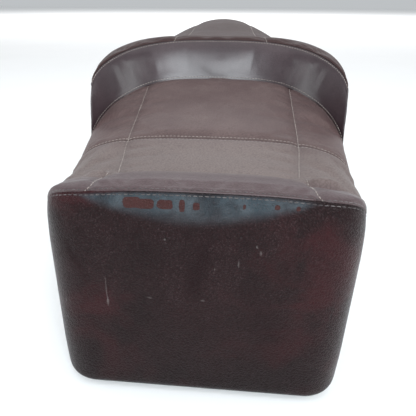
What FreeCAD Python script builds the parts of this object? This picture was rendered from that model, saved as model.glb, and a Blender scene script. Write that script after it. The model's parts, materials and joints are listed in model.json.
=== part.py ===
import FreeCAD, Part
import math
import os
import Sketcher
from FreeCAD import Vector

# Two-up stepped seat of a scooter-style motorcycle, as an assembly of its separate pieces.
#
# Frame: +Y runs from the nose to the tail, +X to the right as the nose is faced, +Z up, in millimetres.
# The origin is midway along the seat, on its centre line, level with the bottom of the nose. Left and
# right in the names are as the nose is faced, so that left is the side of -X.
# Pan, hinge pan leaf, striker, foams and covers are one rigid unit. The frame leaf of the front hinge
# turns about the hinge pin, as it does when the tail of the seat is lifted.

doc = FreeCAD.newDocument("stepped_seat")
sheet = doc.addObject("Spreadsheet::Sheet", "Sizes")

# One row of the sheet for each size: its alias and its value in millimetres or degrees.
SIZES = {
    "seat_length": 706, "nose_half": 120, "nose_corner": 32, "nose_edge_drop": 10, "nose_edge_run": 9,
    "tail_arc_start": 600, "tail_arc_half": 112, "tail_arc_taper": 0.28, "tail_arc_power": 3, "tail_cut": 6,
    "wall_draft": 3, "step_foot": 376, "step_wrap": 75, "step_power": 3.1, "step_run": 34,
    "riser_top_run": 27,
    "floor_rise": 78, "rise_start": 70, "rise_end": 200, "floor_tail": 100, "hem_level": 0,
    "cover_thick": 2.2, "hem_width": 16, "seam_gap": 0.4, "foam_gap": 0.5,
    "cross_seam": 186, "nose_side_seam": 92, "tail_side_seam": 610,
    "skirt_nose_level": 166, "skirt_dip_level": 118, "skirt_hip_level": 124, "skirt_step_level": 163,
    "skirt_pillion_level": 160, "skirt_tail_level": 142,
    "pan_lift": 2.5, "pan_inset": 6.5, "pan_wall": 3, "pan_deck": 30, "flange_width": 14,
    "rib_thick": 2.6, "rib_drop": 13, "rib_first": 110, "rib_pitch": 90, "rib_last": 650, "rib_side": 60,
    "boss_radius": 13, "boss_rise": 7, "foam_split": 372,
    "hinge_back": 44, "hinge_level": 15, "pin_radius": 3, "pin_half": 41, "pin_head_radius": 5,
    "pin_head_thick": 2, "clip_groove": 1, "clip_radius": 5.5, "clip_back": 2.5,
    "leaf_thick": 2.5, "leaf_half": 46, "leaf_front": 6, "leaf_back": 46, "ear_radius": 8,
    "pan_ear_inner": 34, "frame_ear_inner": 28, "ear_thick": 3, "bush_bore": 3.05, "bush_radius": 5,
    "bush_flange": 7, "bush_flange_thick": 1.2, "frame_plate_level": 1.4, "frame_plate_front": 10,
    "frame_plate_back": 54, "frame_bolt_half": 30, "frame_bolt_back": 40, "frame_bolt_radius": 3.3,
    "screw_radius": 3, "screw_hole_radius": 3.3, "screw_head_radius": 5, "screw_head_high": 4,
    "socket_radius": 2.6, "socket_deep": 2.3, "screw_half_span": 18, "screw_front": 14, "screw_pitch": 20,
    "insert_radius": 4.5, "insert_length": 12, "nut_radius": 5.7, "nut_high": 4.6,
    "striker_back": 604, "striker_half": 20, "striker_rod": 4, "striker_drop": 52, "striker_plate_half": 34,
    "striker_plate_deep": 22, "striker_plate_thick": 3, "striker_screw_half": 26, "striker_screw_deep": 14,
    "striker_backing_gap": 3.0,
    "buffer_front_back": 246, "buffer_front_side": 108, "buffer_middle_back": 430, "buffer_middle_side": 112,
    "buffer_rear_back": 585, "buffer_rear_side": 74, "buffer_radius": 11, "buffer_high": 14,
    "buffer_stem": 4, "buffer_stem_long": 10,
    "staple_pitch": 32, "staple_crown": 10, "staple_wire": 0.6, "staple_wide": 1.2, "staple_inset": 12,
    "staple_leg": 4.4, "staple_sunk": 0.3,
}

# Cross-sections of the two forms that make up the top: distance from the front, half width at the
# waist, height of the crown, depth from crown to waist, and the power of the section's superellipse.
COLUMNS = ("from_front", "half", "crown", "depth", "power")
RIDER_STATIONS = {
    "lip": (20, 120, 187, 22, 2.8), "fall": (48, 121.5, 180, 26, 2.8), "dip": (84, 125, 165, 38, 2.8),
    "lap": (130, 133, 165, 45, 2.9), "thigh": (186, 143, 170.5, 50, 3.0), "hip": (260, 153, 180, 51, 3.0),
    "rear": (330, 165, 191, 52, 3.0), "foot": (376, 169, 200, 54, 3.0), "under": (440, 158, 206, 56, 3.0),
}
PILLION_STATIONS = {
    "arm": (250, 151, 246, 50, 2.7), "crest": (405, 167, 254, 54, 2.7), "seat": (455, 153, 247, 60, 2.5),
    "middle": (520, 134, 252, 70, 2.3), "back": (580, 118, 262, 88, 2.15), "tail": (630, 104, 266, 98, 2.1),
    "slope": (670, 90, 259, 100, 2.1), "end": (712, 60, 226, 80, 2.1),
}


def fill_sheet():
    """Writes every driving dimension into the sheet, each under its alias."""
    sheet.set("A1", "size")
    sheet.set("B1", "value")
    row = 2
    for alias, value in SIZES.items():
        sheet.set("A%d" % row, alias)
        sheet.set("B%d" % row, str(value))
        sheet.setAlias("B%d" % row, alias)
        row += 1
    for prefix, stations in (("rider", RIDER_STATIONS), ("pillion", PILLION_STATIONS)):
        for name, values in stations.items():
            sheet.set("A%d" % row, "%s_%s" % (prefix, name))
            for column, word, value in zip("BCDEF", COLUMNS, values):
                sheet.set("%s%d" % (column, row), str(value))
                sheet.setAlias("%s%d" % (column, row), "%s_%s_%s" % (prefix, name, word))
            row += 1
    doc.recompute()


def size(alias):
    """The value of one cell of the sheet, by its alias."""
    return float(sheet.get(alias))


def column(prefix, stations, word):
    """One column of a form's cross-section rows, as (distance from the front, value) pairs."""
    return [(size("%s_%s_from_front" % (prefix, n)), size("%s_%s_%s" % (prefix, n, word))) for n in stations]


def smooth(points, at):
    """A smooth curve through the points that never overshoots them (monotone cubic)."""
    if at <= points[0][0]:
        return points[0][1]
    if at >= points[-1][0]:
        return points[-1][1]
    k = max(i for i in range(len(points) - 1) if points[i][0] <= at)

    def slope(i):
        if i in (0, len(points) - 1):
            i = min(max(i, 1), len(points) - 1)
            return (points[i][1] - points[i - 1][1]) / (points[i][0] - points[i - 1][0])
        before = (points[i][1] - points[i - 1][1]) / (points[i][0] - points[i - 1][0])
        after = (points[i + 1][1] - points[i][1]) / (points[i + 1][0] - points[i][0])
        return 0.0 if before * after <= 0 else 2 * before * after / (before + after)

    run = points[k + 1][0] - points[k][0]
    s = (at - points[k][0]) / run
    return ((2 * s**3 - 3 * s**2 + 1) * points[k][1] + (s**3 - 2 * s**2 + s) * slope(k) * run
            + (3 * s**2 - 2 * s**3) * points[k + 1][1] + (s**3 - s**2) * slope(k + 1) * run)


class Form:
    """The padded seat's outside, or the same form a thickness further in. Distances run from the front.

    A place on it is given by its share of the half width, from -1 to 1, and a station along the centre
    line. The stations' rows bow forward round the step, so that one of them runs along its foot."""

    def __init__(self, inset=0.0):
        self.inset = inset
        self.length = size("seat_length")
        self.last = self.length - inset
        self.corner = size("nose_corner")
        self.rider = {w: column("rider", RIDER_STATIONS, w) for w in COLUMNS[1:]}
        self.pillion = {w: column("pillion", PILLION_STATIONS, w) for w in COLUMNS[1:]}
        front = [p for p in self.rider["half"] if self.corner < p[0] < size("step_foot") + 1]
        rear = [p for p in self.pillion["half"] if size("step_foot") < p[0] < size("tail_arc_start")]
        self.outline = ([(self.corner, size("nose_half"))] + front + rear
                        + [(size("tail_arc_start"), size("tail_arc_half"))])

    def half(self, s):
        """Half width of the plan outline."""
        inset, corner = self.inset, self.corner
        if s < corner:
            radius = corner - inset
            return size("nose_half") - corner + math.sqrt(max(0.0, radius**2 - (corner - s) ** 2))
        start, power = size("tail_arc_start"), size("tail_arc_power")
        if s > start:
            t = (s - start) / (self.length + size("tail_cut") - start)
            taper = size("tail_arc_half") - size("tail_arc_taper") * (s - start)
            return taper * max(0.0, 1 - t**power) ** (1 / power) - inset
        return smooth(self.outline, s) - inset

    def arch(self, table, share, s):
        """Height of one form's arched cross-section. The nose's corners are cut out of a full width."""
        if s < self.corner:
            share *= self.half(s) / (size("nose_half") - self.inset)
        power = smooth(table["power"], s)
        drop = 1 - (1 - min(1.0, abs(share)) ** power) ** (1 / power)
        return smooth(table["crown"], s) - smooth(table["depth"], s) * drop - self.inset

    def foot(self, share):
        """Where the foot of the step runs: it wraps forward round the rider's hips."""
        return size("step_foot") - size("step_wrap") * abs(share) ** size("step_power")

    def top(self, share, s):
        """Height of the top of the seat."""
        low = self.arch(self.rider, share, s)
        run = size("nose_edge_run")
        if s - self.inset < run:
            low -= size("nose_edge_drop") * (1 - math.sqrt(max(0.0, 1 - (1 - (s - self.inset) / run) ** 2)))
        t = min(1.0, (s - self.foot(share) - self.inset) / size("step_run"))
        if t <= 0:
            return low
        return low + (self.arch(self.pillion, share, s) - low) * math.sin(t * math.pi / 2)

    def bow(self, station):
        """How fully a row at this station follows the step's foot, from 0 to 1."""
        foot = size("step_foot")
        return smooth([(size("cross_seam"), 0.0), (foot - 60, 0.8), (foot, 1.0),
                       (foot + size("step_run"), 1.0), (size("tail_arc_start"), 0.0)], station)

    def point(self, share, station):
        """A point of the top, in the part's own frame."""
        s = station - self.bow(station) * size("step_wrap") * abs(share) ** size("step_power")
        return Vector(share * self.half(s), s - self.length / 2, self.top(share, s))

    def stations(self):
        """Stations of the rows: close together at the nose, the step and the tail."""
        corner, foot, run = self.corner, size("step_foot") + self.inset, size("step_run")
        start = size("tail_arc_start")
        radius = corner - self.inset
        nose = [corner - radius * math.cos(math.radians(a)) for a in (0, 12, 25, 40, 57, 75, 90)]
        rider = spread(corner, size("cross_seam"), 7)[1:] + spread(size("cross_seam"), foot - 8, 8)[1:]
        step = [foot - 2, foot + 2] + spread(foot + 2, foot + run, 4)[1:]
        rear = spread(foot + run, start, 12)[1:]
        tail = [start + (self.last - start) * math.sin(math.radians(a)) for a in range(10, 91, 10)]
        return nose + rider + step + rear + tail

    def solid(self, lowest=-20.0):
        """The form as a closed solid, down to a level below the nose."""
        stations = self.stations()
        shares = [math.sin(math.pi / 2 * i / SIDE_POINTS) ** 0.85 for i in range(SIDE_POINTS + 1)]
        shares = [-share for share in shares[:0:-1]] + shares
        grid = [[self.point(share, station) for share in shares] for station in stations]
        top = Part.BSplineSurface()
        top.interpolate(grid)
        back, front, left, right = top.bounds()
        draft = size("wall_draft")
        feet = ([], [])
        for row in grid:
            for store, edge, inward in ((feet[0], row[0], draft), (feet[1], row[-1], -draft)):
                store.append(Vector(edge.x + inward, edge.y, lowest))
        faces = [top.toShape()]
        bottoms = []
        for waist, store in ((top.vIso(left), feet[0]), (top.vIso(right), feet[1])):
            foot = Part.BSplineCurve()
            foot.interpolate(store)
            bottoms.append(foot.toShape())
            faces.append(Part.makeRuledSurface(waist.toShape(), bottoms[-1]))
        crossings = []
        for end, k in ((top.uIso(back), 0), (top.uIso(front), -1)):
            crossing = Part.makeLine(feet[0][k], feet[1][k])
            crossings.append(crossing)
            sides = [Part.makeLine(grid[k][0], feet[0][k]), Part.makeLine(grid[k][-1], feet[1][k])]
            faces.append(Part.Face(Part.Wire(Part.__sortEdges__([end.toShape(), crossing] + sides))))
        faces.append(Part.Face(Part.Wire(Part.__sortEdges__(bottoms + crossings))))
        shell = Part.makeShell(faces)
        shell.sewShape()
        solid = Part.makeSolid(shell)
        if solid.Volume < 0:
            solid.reverse()
        return solid


SIDE_POINTS = 15


def spread(first, last, count):
    """Evenly spaced values, both ends included."""
    return [first + (last - first) * i / count for i in range(count + 1)]


def outline_normal(form, s):
    """Outward normal of the plan outline, as (x, y), on the +X side."""
    if s < form.corner:
        corner = form.corner
        return ((form.half(s) - size("nose_half") + corner) / corner, (s - corner) / corner)
    step = 0.5
    slope = (form.half(s + step) - form.half(s - step)) / (2 * step)
    return (1 / math.hypot(1, slope), -slope / math.hypot(1, slope))


def floor_height(s):
    """Level of the seat's underside at a distance from the front, for placing pieces."""
    start, end, rise = size("rise_start"), size("rise_end"), size("floor_rise")
    if s <= start:
        return size("hem_level")
    if s >= end:
        share = (s - end) / (size("seat_length") - end)
        return size("hem_level") + rise + (size("floor_tail") - rise) * share
    low, high = 0.0, 1.0
    for _ in range(40):
        t = (low + high) / 2
        if 3 * t * (1 - t) ** 2 * 0.45 + 3 * t**2 * (1 - t) * 0.55 + t**3 < (s - start) / (end - start):
            low = t
        else:
            high = t
    return size("hem_level") + rise * (3 * t**2 * (1 - t) + t**3)


def above_floor(lift, ceiling=400.0):
    """Everything above the underside's profile, raised by a lift: the profile is drawn from the side."""
    length = size("seat_length")
    y0 = -length / 2
    start, end = size("rise_start") + y0, size("rise_end") + y0
    low = size("hem_level") + lift
    high = low + size("floor_rise")
    run = end - start
    tail = low + size("floor_tail")
    curve = Part.BezierCurve()
    curve.setPoles([Vector(0, start, low), Vector(0, start + 0.45 * run, low),
                    Vector(0, start + 0.55 * run, high), Vector(0, end, high)])
    corners = [Vector(0, y0 + length, tail), Vector(0, y0 + length + 40, tail + 1.7),
               Vector(0, y0 + length + 40, ceiling), Vector(0, y0 - 40, ceiling), Vector(0, y0 - 40, low),
               Vector(0, start, low)]
    edges = [curve.toShape(), Part.makeLine(Vector(0, end, high), corners[0])]
    edges += [Part.makeLine(a, b) for a, b in zip(corners, corners[1:])]
    face = Part.Face(Part.Wire(Part.__sortEdges__(edges)))
    face.translate(Vector(-250, 0, 0))
    return face.extrude(Vector(500, 0, 0))


def plan_prism(inset, low=-30.0, high=300.0):
    """An upright prism whose plan is the seat's outline set in by a distance."""
    form = Form(min(inset, size("nose_corner") - 6))
    extra = inset - form.inset
    right = [Vector(form.half(s) - extra, s - form.length / 2, low) for s in form.stations()]
    right[0].y += extra
    right[-1].y -= extra
    left = [Vector(-p.x, p.y, p.z) for p in right]
    edges = []
    for side in (left, right):
        curve = Part.BSplineCurve()
        curve.interpolate(side)
        edges.append(curve.toShape())
    edges += [Part.makeLine(left[0], right[0]), Part.makeLine(left[-1], right[-1])]
    return Part.Face(Part.Wire(Part.__sortEdges__(edges))).extrude(Vector(0, 0, high - low))


def step_prism(form, run):
    """Everything behind the foot of the step, moved back by a run, as an upright prism."""
    reach = size("rider_foot_half") + 6
    wide = size("rider_foot_half")
    points = [Vector(x, form.foot(x / wide) + run - form.length / 2, 0) for x in spread(-reach, reach, 24)]
    curve = Part.BSplineCurve()
    curve.interpolate(points)
    back = 500.0
    edges = [curve.toShape(), Part.makeLine(points[-1], Vector(reach, back, 0)),
             Part.makeLine(Vector(reach, back, 0), Vector(-reach, back, 0)),
             Part.makeLine(Vector(-reach, back, 0), points[0])]
    return Part.Face(Part.Wire(Part.__sortEdges__(edges))).extrude(Vector(0, 0, 400))


def skirt_levels(form):
    """The seam between the top covers and the skirts, as (distance from the front, height)."""
    return [(-10, size("skirt_nose_level")), (12, size("skirt_nose_level")),
            (size("rider_dip_from_front"), size("skirt_dip_level")),
            (size("rider_hip_from_front"), size("skirt_hip_level")),
            (size("pillion_crest_from_front"), size("skirt_step_level")),
            (size("pillion_back_from_front"), size("skirt_pillion_level")),
            (form.length + 20, size("skirt_tail_level"))]


def above_seam(form, lift):
    """Everything above the skirt seam, which is drawn from the side."""
    levels = skirt_levels(form)
    points = [Vector(-250, s - form.length / 2, smooth(levels, s) + lift)
              for s in spread(-10, form.length + 20, 30)]
    curve = Part.BSplineCurve()
    curve.interpolate(points)
    high = 420.0
    corners = [points[-1], Vector(-250, points[-1].y, high), Vector(-250, points[0].y, high), points[0]]
    edges = [curve.toShape()] + [Part.makeLine(a, b) for a, b in zip(corners, corners[1:])]
    return Part.Face(Part.Wire(Part.__sortEdges__(edges))).extrude(Vector(500, 0, 0))


def slab(front, back, side=None):
    """A tall box between two distances from the front, on both sides of the centre or on one."""
    y = -size("seat_length") / 2
    low, high = {None: (-250, 250), "left": (-250, 0), "right": (0, 250)}[side]
    return Part.makeBox(high - low, back - front, 500, Vector(low, y + front, -50))


PIECES = []


def keep(label, shape):
    """Stores a shape worked out above as a piece of the document."""
    piece = doc.addObject("Part::Feature", label)
    piece.Label = label
    piece.Shape = shape
    piece.Placement = FreeCAD.Placement()
    PIECES.append(piece)


def biggest(shape):
    """A boolean's result without crumbs: its solids over a cubic centimetre, or its largest one."""
    solids = sorted(shape.Solids, key=lambda s: -s.Volume)
    kept = [s for s in solids if s.Volume > 1000] or solids[:1]
    return kept[0] if len(kept) == 1 else Part.makeCompound(kept)


def make_covers(form, outside):
    """The eight cut and sewn panels of the cover, with the hem that turns in under the pan."""
    thick, gap = size("cover_thick"), size("seam_gap") / 2
    inside = Form(thick).solid().common(above_floor(thick))
    opening = plan_prism(size("hem_width") + thick).common(above_floor(-60).cut(above_floor(thick + 4)))
    shell = outside.cut(inside).cut(opening)
    upper = above_seam(form, gap)
    lower = shell.cut(above_seam(form, -gap))
    raised = shell.common(upper)
    nose, tail = size("nose_side_seam"), size("tail_side_seam")
    cross, top_run = size("cross_seam"), size("riser_top_run")
    length = form.length
    keep("cover_nose", biggest(lower.common(slab(-20, nose - gap))))
    keep("cover_skirt_left", biggest(lower.common(slab(nose + gap, tail - gap, "left"))))
    keep("cover_skirt_right", biggest(lower.common(slab(nose + gap, tail - gap, "right"))))
    keep("cover_tail", biggest(lower.common(slab(tail + gap, length + 20))))
    front = raised.cut(step_prism(form, -gap))
    keep("cover_rider_front", biggest(front.common(slab(-20, cross - gap))))
    keep("cover_rider_rear", biggest(front.common(slab(cross + gap, length))))
    behind = raised.common(step_prism(form, gap))
    keep("cover_riser", biggest(behind.cut(step_prism(form, top_run - gap))))
    keep("cover_pillion", biggest(behind.common(step_prism(form, top_run + gap))))


def make_pan(form):
    """The moulded seat pan: deck, rim, stapling flange, ribs and the bosses of the buffers."""
    inset, wall, deck = size("pan_inset"), size("pan_wall"), size("pan_deck")
    thick = size("pan_lift")
    outer = plan_prism(inset).common(above_floor(thick)).cut(above_floor(thick + deck))
    hollow = plan_prism(inset + wall).common(above_floor(thick + wall)).cut(above_floor(thick + deck - wall))
    mouth = plan_prism(inset + size("flange_width")).cut(above_floor(thick + wall + 1))
    pan = outer.cut(hollow).cut(mouth)
    y0 = -form.length / 2
    band = plan_prism(inset + wall - 0.5).common(above_floor(thick + deck - wall - size("rib_drop")))
    band = band.cut(above_floor(thick + deck - 1))
    rib, first, last = size("rib_thick"), size("rib_first"), size("rib_last")
    count = round((last - first) / size("rib_pitch"))
    ribs = [Part.makeBox(400, rib, 300, Vector(-200, y0 + s, 0)) for s in spread(first, last, count)]
    for x in (-size("rib_side"), size("rib_side")):
        ribs.append(Part.makeBox(rib, last - first, 300, Vector(x - rib / 2, y0 + first, 0)))
    grid = ribs[0].multiFuse(ribs[1:]).common(band)
    bosses, sockets = [], []
    for s, x in buffer_places():
        foot = Vector(x, y0 + s, floor_height(s) + thick + size("boss_rise"))
        bosses.append(Part.makeCylinder(size("boss_radius"), deck - size("boss_rise") - 1, foot))
        sockets.append(Part.makeCylinder(size("buffer_stem") + 0.05, size("buffer_stem_long") + 1,
                                         foot - Vector(0, 0, 0.5)))
    drills = [Part.makeCylinder(size("insert_radius"), 40, Vector(x, y, 0)) for x, y in hinge_screw_places()]
    drills += [Part.makeCylinder(size("screw_hole_radius"), 200, Vector(x, y, 60))
               for x, y in striker_screw_places()]
    pan = pan.multiFuse([grid] + bosses)
    for tool in sockets + drills:
        pan = pan.cut(tool)
    keep("seat_pan", biggest(pan.removeSplitter()))


BUFFER_ROWS = ("front", "middle", "rear")


def buffer_places():
    """Distance from the front and side position of each rubber buffer."""
    rows = [(size("buffer_%s_back" % row), size("buffer_%s_side" % row)) for row in BUFFER_ROWS]
    return [(s, side * x) for s, x in rows for side in (-1, 1)]


def hinge_screw_places():
    """The four screws that hold the hinge's pan leaf."""
    y = -size("seat_length") / 2 + size("hinge_back") + size("screw_front")
    half, pitch = size("screw_half_span"), size("screw_pitch")
    return [(side * half, y + k * pitch) for side in (-1, 1) for k in (0, 1)]


def striker_screw_places():
    """The four screws that hold the striker's plate."""
    y = -size("seat_length") / 2 + size("striker_back")
    half, deep = size("striker_screw_half"), size("striker_screw_deep")
    return [(a * half, y + b * deep) for a in (-1, 1) for b in (-1, 1)]


def deck_underside(s):
    """Level of the deck's underside."""
    return floor_height(s) + size("pan_lift") + size("pan_deck") - size("pan_wall")


def make_foams(form):
    """The rider's and the passenger's foam, which butt together under the step."""
    gap = size("foam_gap")
    core = Form(size("cover_thick") + gap).solid()
    y0 = -form.length / 2
    core = core.common(above_floor(size("pan_lift") + size("pan_deck") + 0.2))
    clear = []
    for x, y in hinge_screw_places():
        clear.append(Part.makeCylinder(size("insert_radius") + 1.5, 22, Vector(x, y, 25)))
    base = deck_underside(size("striker_back")) + size("pan_wall")
    clear.append(Part.makeBox(90, 60, 16, Vector(-45, y0 + size("striker_back") - 30, base - 4)))
    core = core.cut(Part.makeCompound(clear))
    split = size("foam_split")
    keep("foam_rider", biggest(core.common(slab(-20, split - 0.2))))
    keep("foam_pillion", biggest(core.common(slab(split + 0.2, form.length + 20))))


def staple_shape():
    """One staple, pointing up, its crown's underside at the origin."""
    crown, wire, wide = size("staple_crown"), size("staple_wire"), size("staple_wide")
    staple = Part.makeBox(crown, wide, wire, Vector(-crown / 2, -wide / 2, 0))
    for x in (-crown / 2, crown / 2 - wire):
        staple = staple.fuse(Part.makeBox(wire, wide, size("staple_leg"), Vector(x, -wide / 2, 0)))
    return staple.removeSplitter()


def make_staples(form):
    """The staples that hold the hem to the pan's flange, one every pitch round the rim."""
    inset, pitch = size("staple_inset"), size("staple_pitch")
    rim = []
    for s in spread(0, form.length - 26, 700):
        nx, ny = outline_normal(form, s)
        rim.append((form.half(s) - nx * inset, s - ny * inset))
    places = [(pitch * k, inset, 0.0) for k in (-2, -1, 0, 1, 2)]
    travel = 0.0
    for a, b in zip(rim, rim[1:]):
        travel += math.hypot(b[0] - a[0], b[1] - a[1])
        if travel >= pitch:
            travel = 0.0
            turned = math.degrees(math.atan2(b[1] - a[1], b[0] - a[0]))
            places += [(a[0], a[1], turned), (-a[0], a[1], 180 - turned)]
    staples = []
    model = staple_shape()
    for x, s, turned in places:
        staple = model.copy()
        slope = math.degrees(math.atan2(floor_height(s + 6) - floor_height(s - 6), 12))
        staple.rotate(Vector(0, 0, 0), Vector(0, 0, 1), turned)
        staple.rotate(Vector(0, 0, 0), Vector(1, 0, 0), slope)
        staple.translate(Vector(x, s - form.length / 2, floor_height(s) + size("staple_sunk")))
        staples.append(staple)
    keep("hem_staples", Part.makeCompound(staples))


# Sketched pieces: hinge, striker, fasteners and buffers.

def at(expression):
    """The number that an expression on the sheet gives."""
    return float(sheet.evalExpression(expression))


def new_body(label):
    """An empty body that will be one piece."""
    body = doc.addObject("PartDesign::Body", label)
    body.Label = label
    PIECES.append(body)
    return body


def new_sketch(body, role, name):
    """A sketch on one of the body's own origin planes."""
    sketch = body.newObject("Sketcher::SketchObject", name)
    plane = [f for f in body.Origin.OriginFeatures if f.Role == role][0]
    sketch.AttachmentSupport = [(plane, "")]
    sketch.MapMode = "FlatFace"
    return sketch


def polygon(sketch, corners):
    """A closed outline whose corners are pairs of expressions, with sizes written as <alias>."""
    plain = [(x.replace("<", "").replace(">", ""), y.replace("<", "").replace(">", "")) for x, y in corners]
    points = [Vector(at(x), at(y), 0) for x, y in plain]
    lines = [sketch.addGeometry(Part.LineSegment(a, b), False)
             for a, b in zip(points, points[1:] + points[:1])]
    for one, two in zip(lines, lines[1:] + lines[:1]):
        sketch.addConstraint(Sketcher.Constraint("Coincident", one, 2, two, 1))
    for line, marked, bare in zip(lines, corners, plain):
        for axis, kind, expression, number in ((-2, "DistanceX", marked[0], bare[0]),
                                               (-1, "DistanceY", marked[1], bare[1])):
            value = at(number)
            if abs(value) < 1e-9:
                sketch.addConstraint(Sketcher.Constraint("PointOnObject", line, 1, axis))
            else:
                index = sketch.addConstraint(Sketcher.Constraint(kind, -1, 1, line, 1, value))
                sketch.setExpression("Constraints[%d]" % index, in_sheet(expression))


def in_sheet(expression):
    """An expression with its <alias> marks turned into references to the sheet."""
    return expression.replace("<", "Sizes.").replace(">", "")


def hole_circle(sketch, centre, radius):
    """A circle whose centre and radius are expressions."""
    plain = [e.replace("<", "").replace(">", "") for e in (centre[0], centre[1], radius)]
    x, y, r = (at(e) for e in plain)
    circle = sketch.addGeometry(Part.Circle(Vector(x, y, 0), Vector(0, 0, 1), r), False)
    for axis, kind, expression, value in ((-2, "DistanceX", centre[0], x), (-1, "DistanceY", centre[1], y)):
        if abs(value) < 1e-9:
            sketch.addConstraint(Sketcher.Constraint("PointOnObject", circle, 3, axis))
        else:
            index = sketch.addConstraint(Sketcher.Constraint(kind, -1, 1, circle, 3, value))
            sketch.setExpression("Constraints[%d]" % index, in_sheet(expression))
    index = sketch.addConstraint(Sketcher.Constraint("Radius", circle, r))
    sketch.setExpression("Constraints[%d]" % index, in_sheet(radius))


def pad(body, sketch, length, name, midplane=False, reverse=False):
    """Pads a sketch by an expression."""
    feature = body.newObject("PartDesign::Pad", name)
    feature.Profile = sketch
    feature.setExpression("Length", in_sheet(length))
    feature.Midplane = midplane
    feature.Reversed = reverse
    doc.recompute()
    return feature


def turn(body, corners, name):
    """A turned piece: a half profile in the body's XZ plane, revolved about the vertical axis."""
    sketch = new_sketch(body, "XZ_Plane", name + "_profile")
    polygon(sketch, corners)
    feature = body.newObject("PartDesign::Revolution", name)
    feature.Profile = sketch
    feature.ReferenceAxis = (sketch, ["V_Axis"])
    feature.Angle = 360
    doc.recompute()
    return feature


def place(piece, x, y, z, axis=None, angle=0.0):
    """Puts a piece where expressions say, turned about an axis through its own origin."""
    piece.Placement = FreeCAD.Placement(Vector(0, 0, 0), FreeCAD.Rotation(axis or Vector(0, 0, 1), angle))
    for coordinate, expression in zip("xyz", (x, y, z)):
        piece.setExpression("Placement.Base." + coordinate, in_sheet(expression))
    doc.recompute()


HINGE_Y = "<hinge_back> - <seat_length> / 2"
LEAF_LEVEL = "<hem_level> + <pan_lift> + <pan_deck> - <pan_wall> - 0.02"


def make_hinge():
    """The front hinge: a leaf screwed to the pan, a leaf for the vehicle's frame, pin, clip and bushes."""
    top = deck_underside(size("hinge_back") + 20)
    hinge_leaf("hinge_pan_leaf", LEAF_LEVEL, LEAF_LEVEL + " - <leaf_thick>", "-<leaf_front>", "<leaf_back>",
               "<pan_ear_inner>", "<pin_radius> + 0.05")
    hinge_leaf("hinge_frame_leaf", "<frame_plate_level>", "<frame_plate_level> + <leaf_thick>",
               "<frame_plate_front>", "<frame_plate_back>", "<frame_ear_inner>", "<bush_radius>")
    pin = new_body("hinge_pin")
    turn(pin, [("0", "-<pin_half>"), ("<pin_radius>", "-<pin_half>"),
               ("<pin_radius>", "<pin_half>"), ("<pin_head_radius>", "<pin_half>"),
               ("<pin_head_radius>", "<pin_half> + <pin_head_thick>"),
               ("0", "<pin_half> + <pin_head_thick>")], "pin")
    groove = new_sketch(pin, "XZ_Plane", "groove_profile")
    polygon(groove, [("<pin_radius> - 0.8", "-<pin_half> + <clip_back>"),
                     ("<pin_radius> + 1", "-<pin_half> + <clip_back>"),
                     ("<pin_radius> + 1", "-<pin_half> + <clip_back> + <clip_groove>"),
                     ("<pin_radius> - 0.8", "-<pin_half> + <clip_back> + <clip_groove>")])
    cut = pin.newObject("PartDesign::Groove", "clip_groove_cut")
    cut.Profile = groove
    cut.ReferenceAxis = (groove, ["V_Axis"])
    cut.Angle = 360
    place(pin, "0", HINGE_Y, "<hinge_level>", Vector(0, 1, 0), 90)
    clip = new_body("hinge_pin_clip")
    turn(clip, [("<pin_radius> - 0.75", "-<pin_half> + <clip_back> + 0.05"),
                ("<clip_radius>", "-<pin_half> + <clip_back> + 0.05"),
                ("<clip_radius>", "-<pin_half> + <clip_back> + <clip_groove> - 0.05"),
                ("<pin_radius> - 0.75", "-<pin_half> + <clip_back> + <clip_groove> - 0.05")], "clip")
    place(clip, "0", HINGE_Y, "<hinge_level>", Vector(0, 1, 0), 90)
    for side, label in ((-1, "hinge_bush_left"), (1, "hinge_bush_right")):
        bush = new_body(label)
        turn(bush, [("<bush_bore>", "-<ear_thick> - 0.2"), ("<bush_radius> - 0.03", "-<ear_thick> - 0.2"),
                    ("<bush_radius> - 0.03", "0.05"), ("<bush_flange>", "0.05"),
                    ("<bush_flange>", "0.05 + <bush_flange_thick>"),
                    ("<bush_bore>", "0.05 + <bush_flange_thick>")], "bush")
        place(bush, "%d * (<frame_ear_inner> + <ear_thick>)" % side, HINGE_Y, "<hinge_level>",
              Vector(0, 1, 0), 90 * side)
    screws = []
    for x, y in hinge_screw_places():
        screws.append(screw(x, y, top - size("leaf_thick") - 0.04,
                            size("insert_length") + size("leaf_thick") - 1))
    keep("hinge_screws", Part.makeCompound(screws))
    inserts = []
    for x, y in hinge_screw_places():
        sleeve = Part.makeCylinder(size("insert_radius") - 0.02, size("insert_length"),
                                   Vector(x, y, top + 0.02))
        sleeve = sleeve.cut(Part.makeCylinder(size("screw_radius") + 0.02, 60, Vector(x, y, top - 10)))
        inserts.append(sleeve)
    keep("hinge_inserts", Part.makeCompound(inserts))


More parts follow.
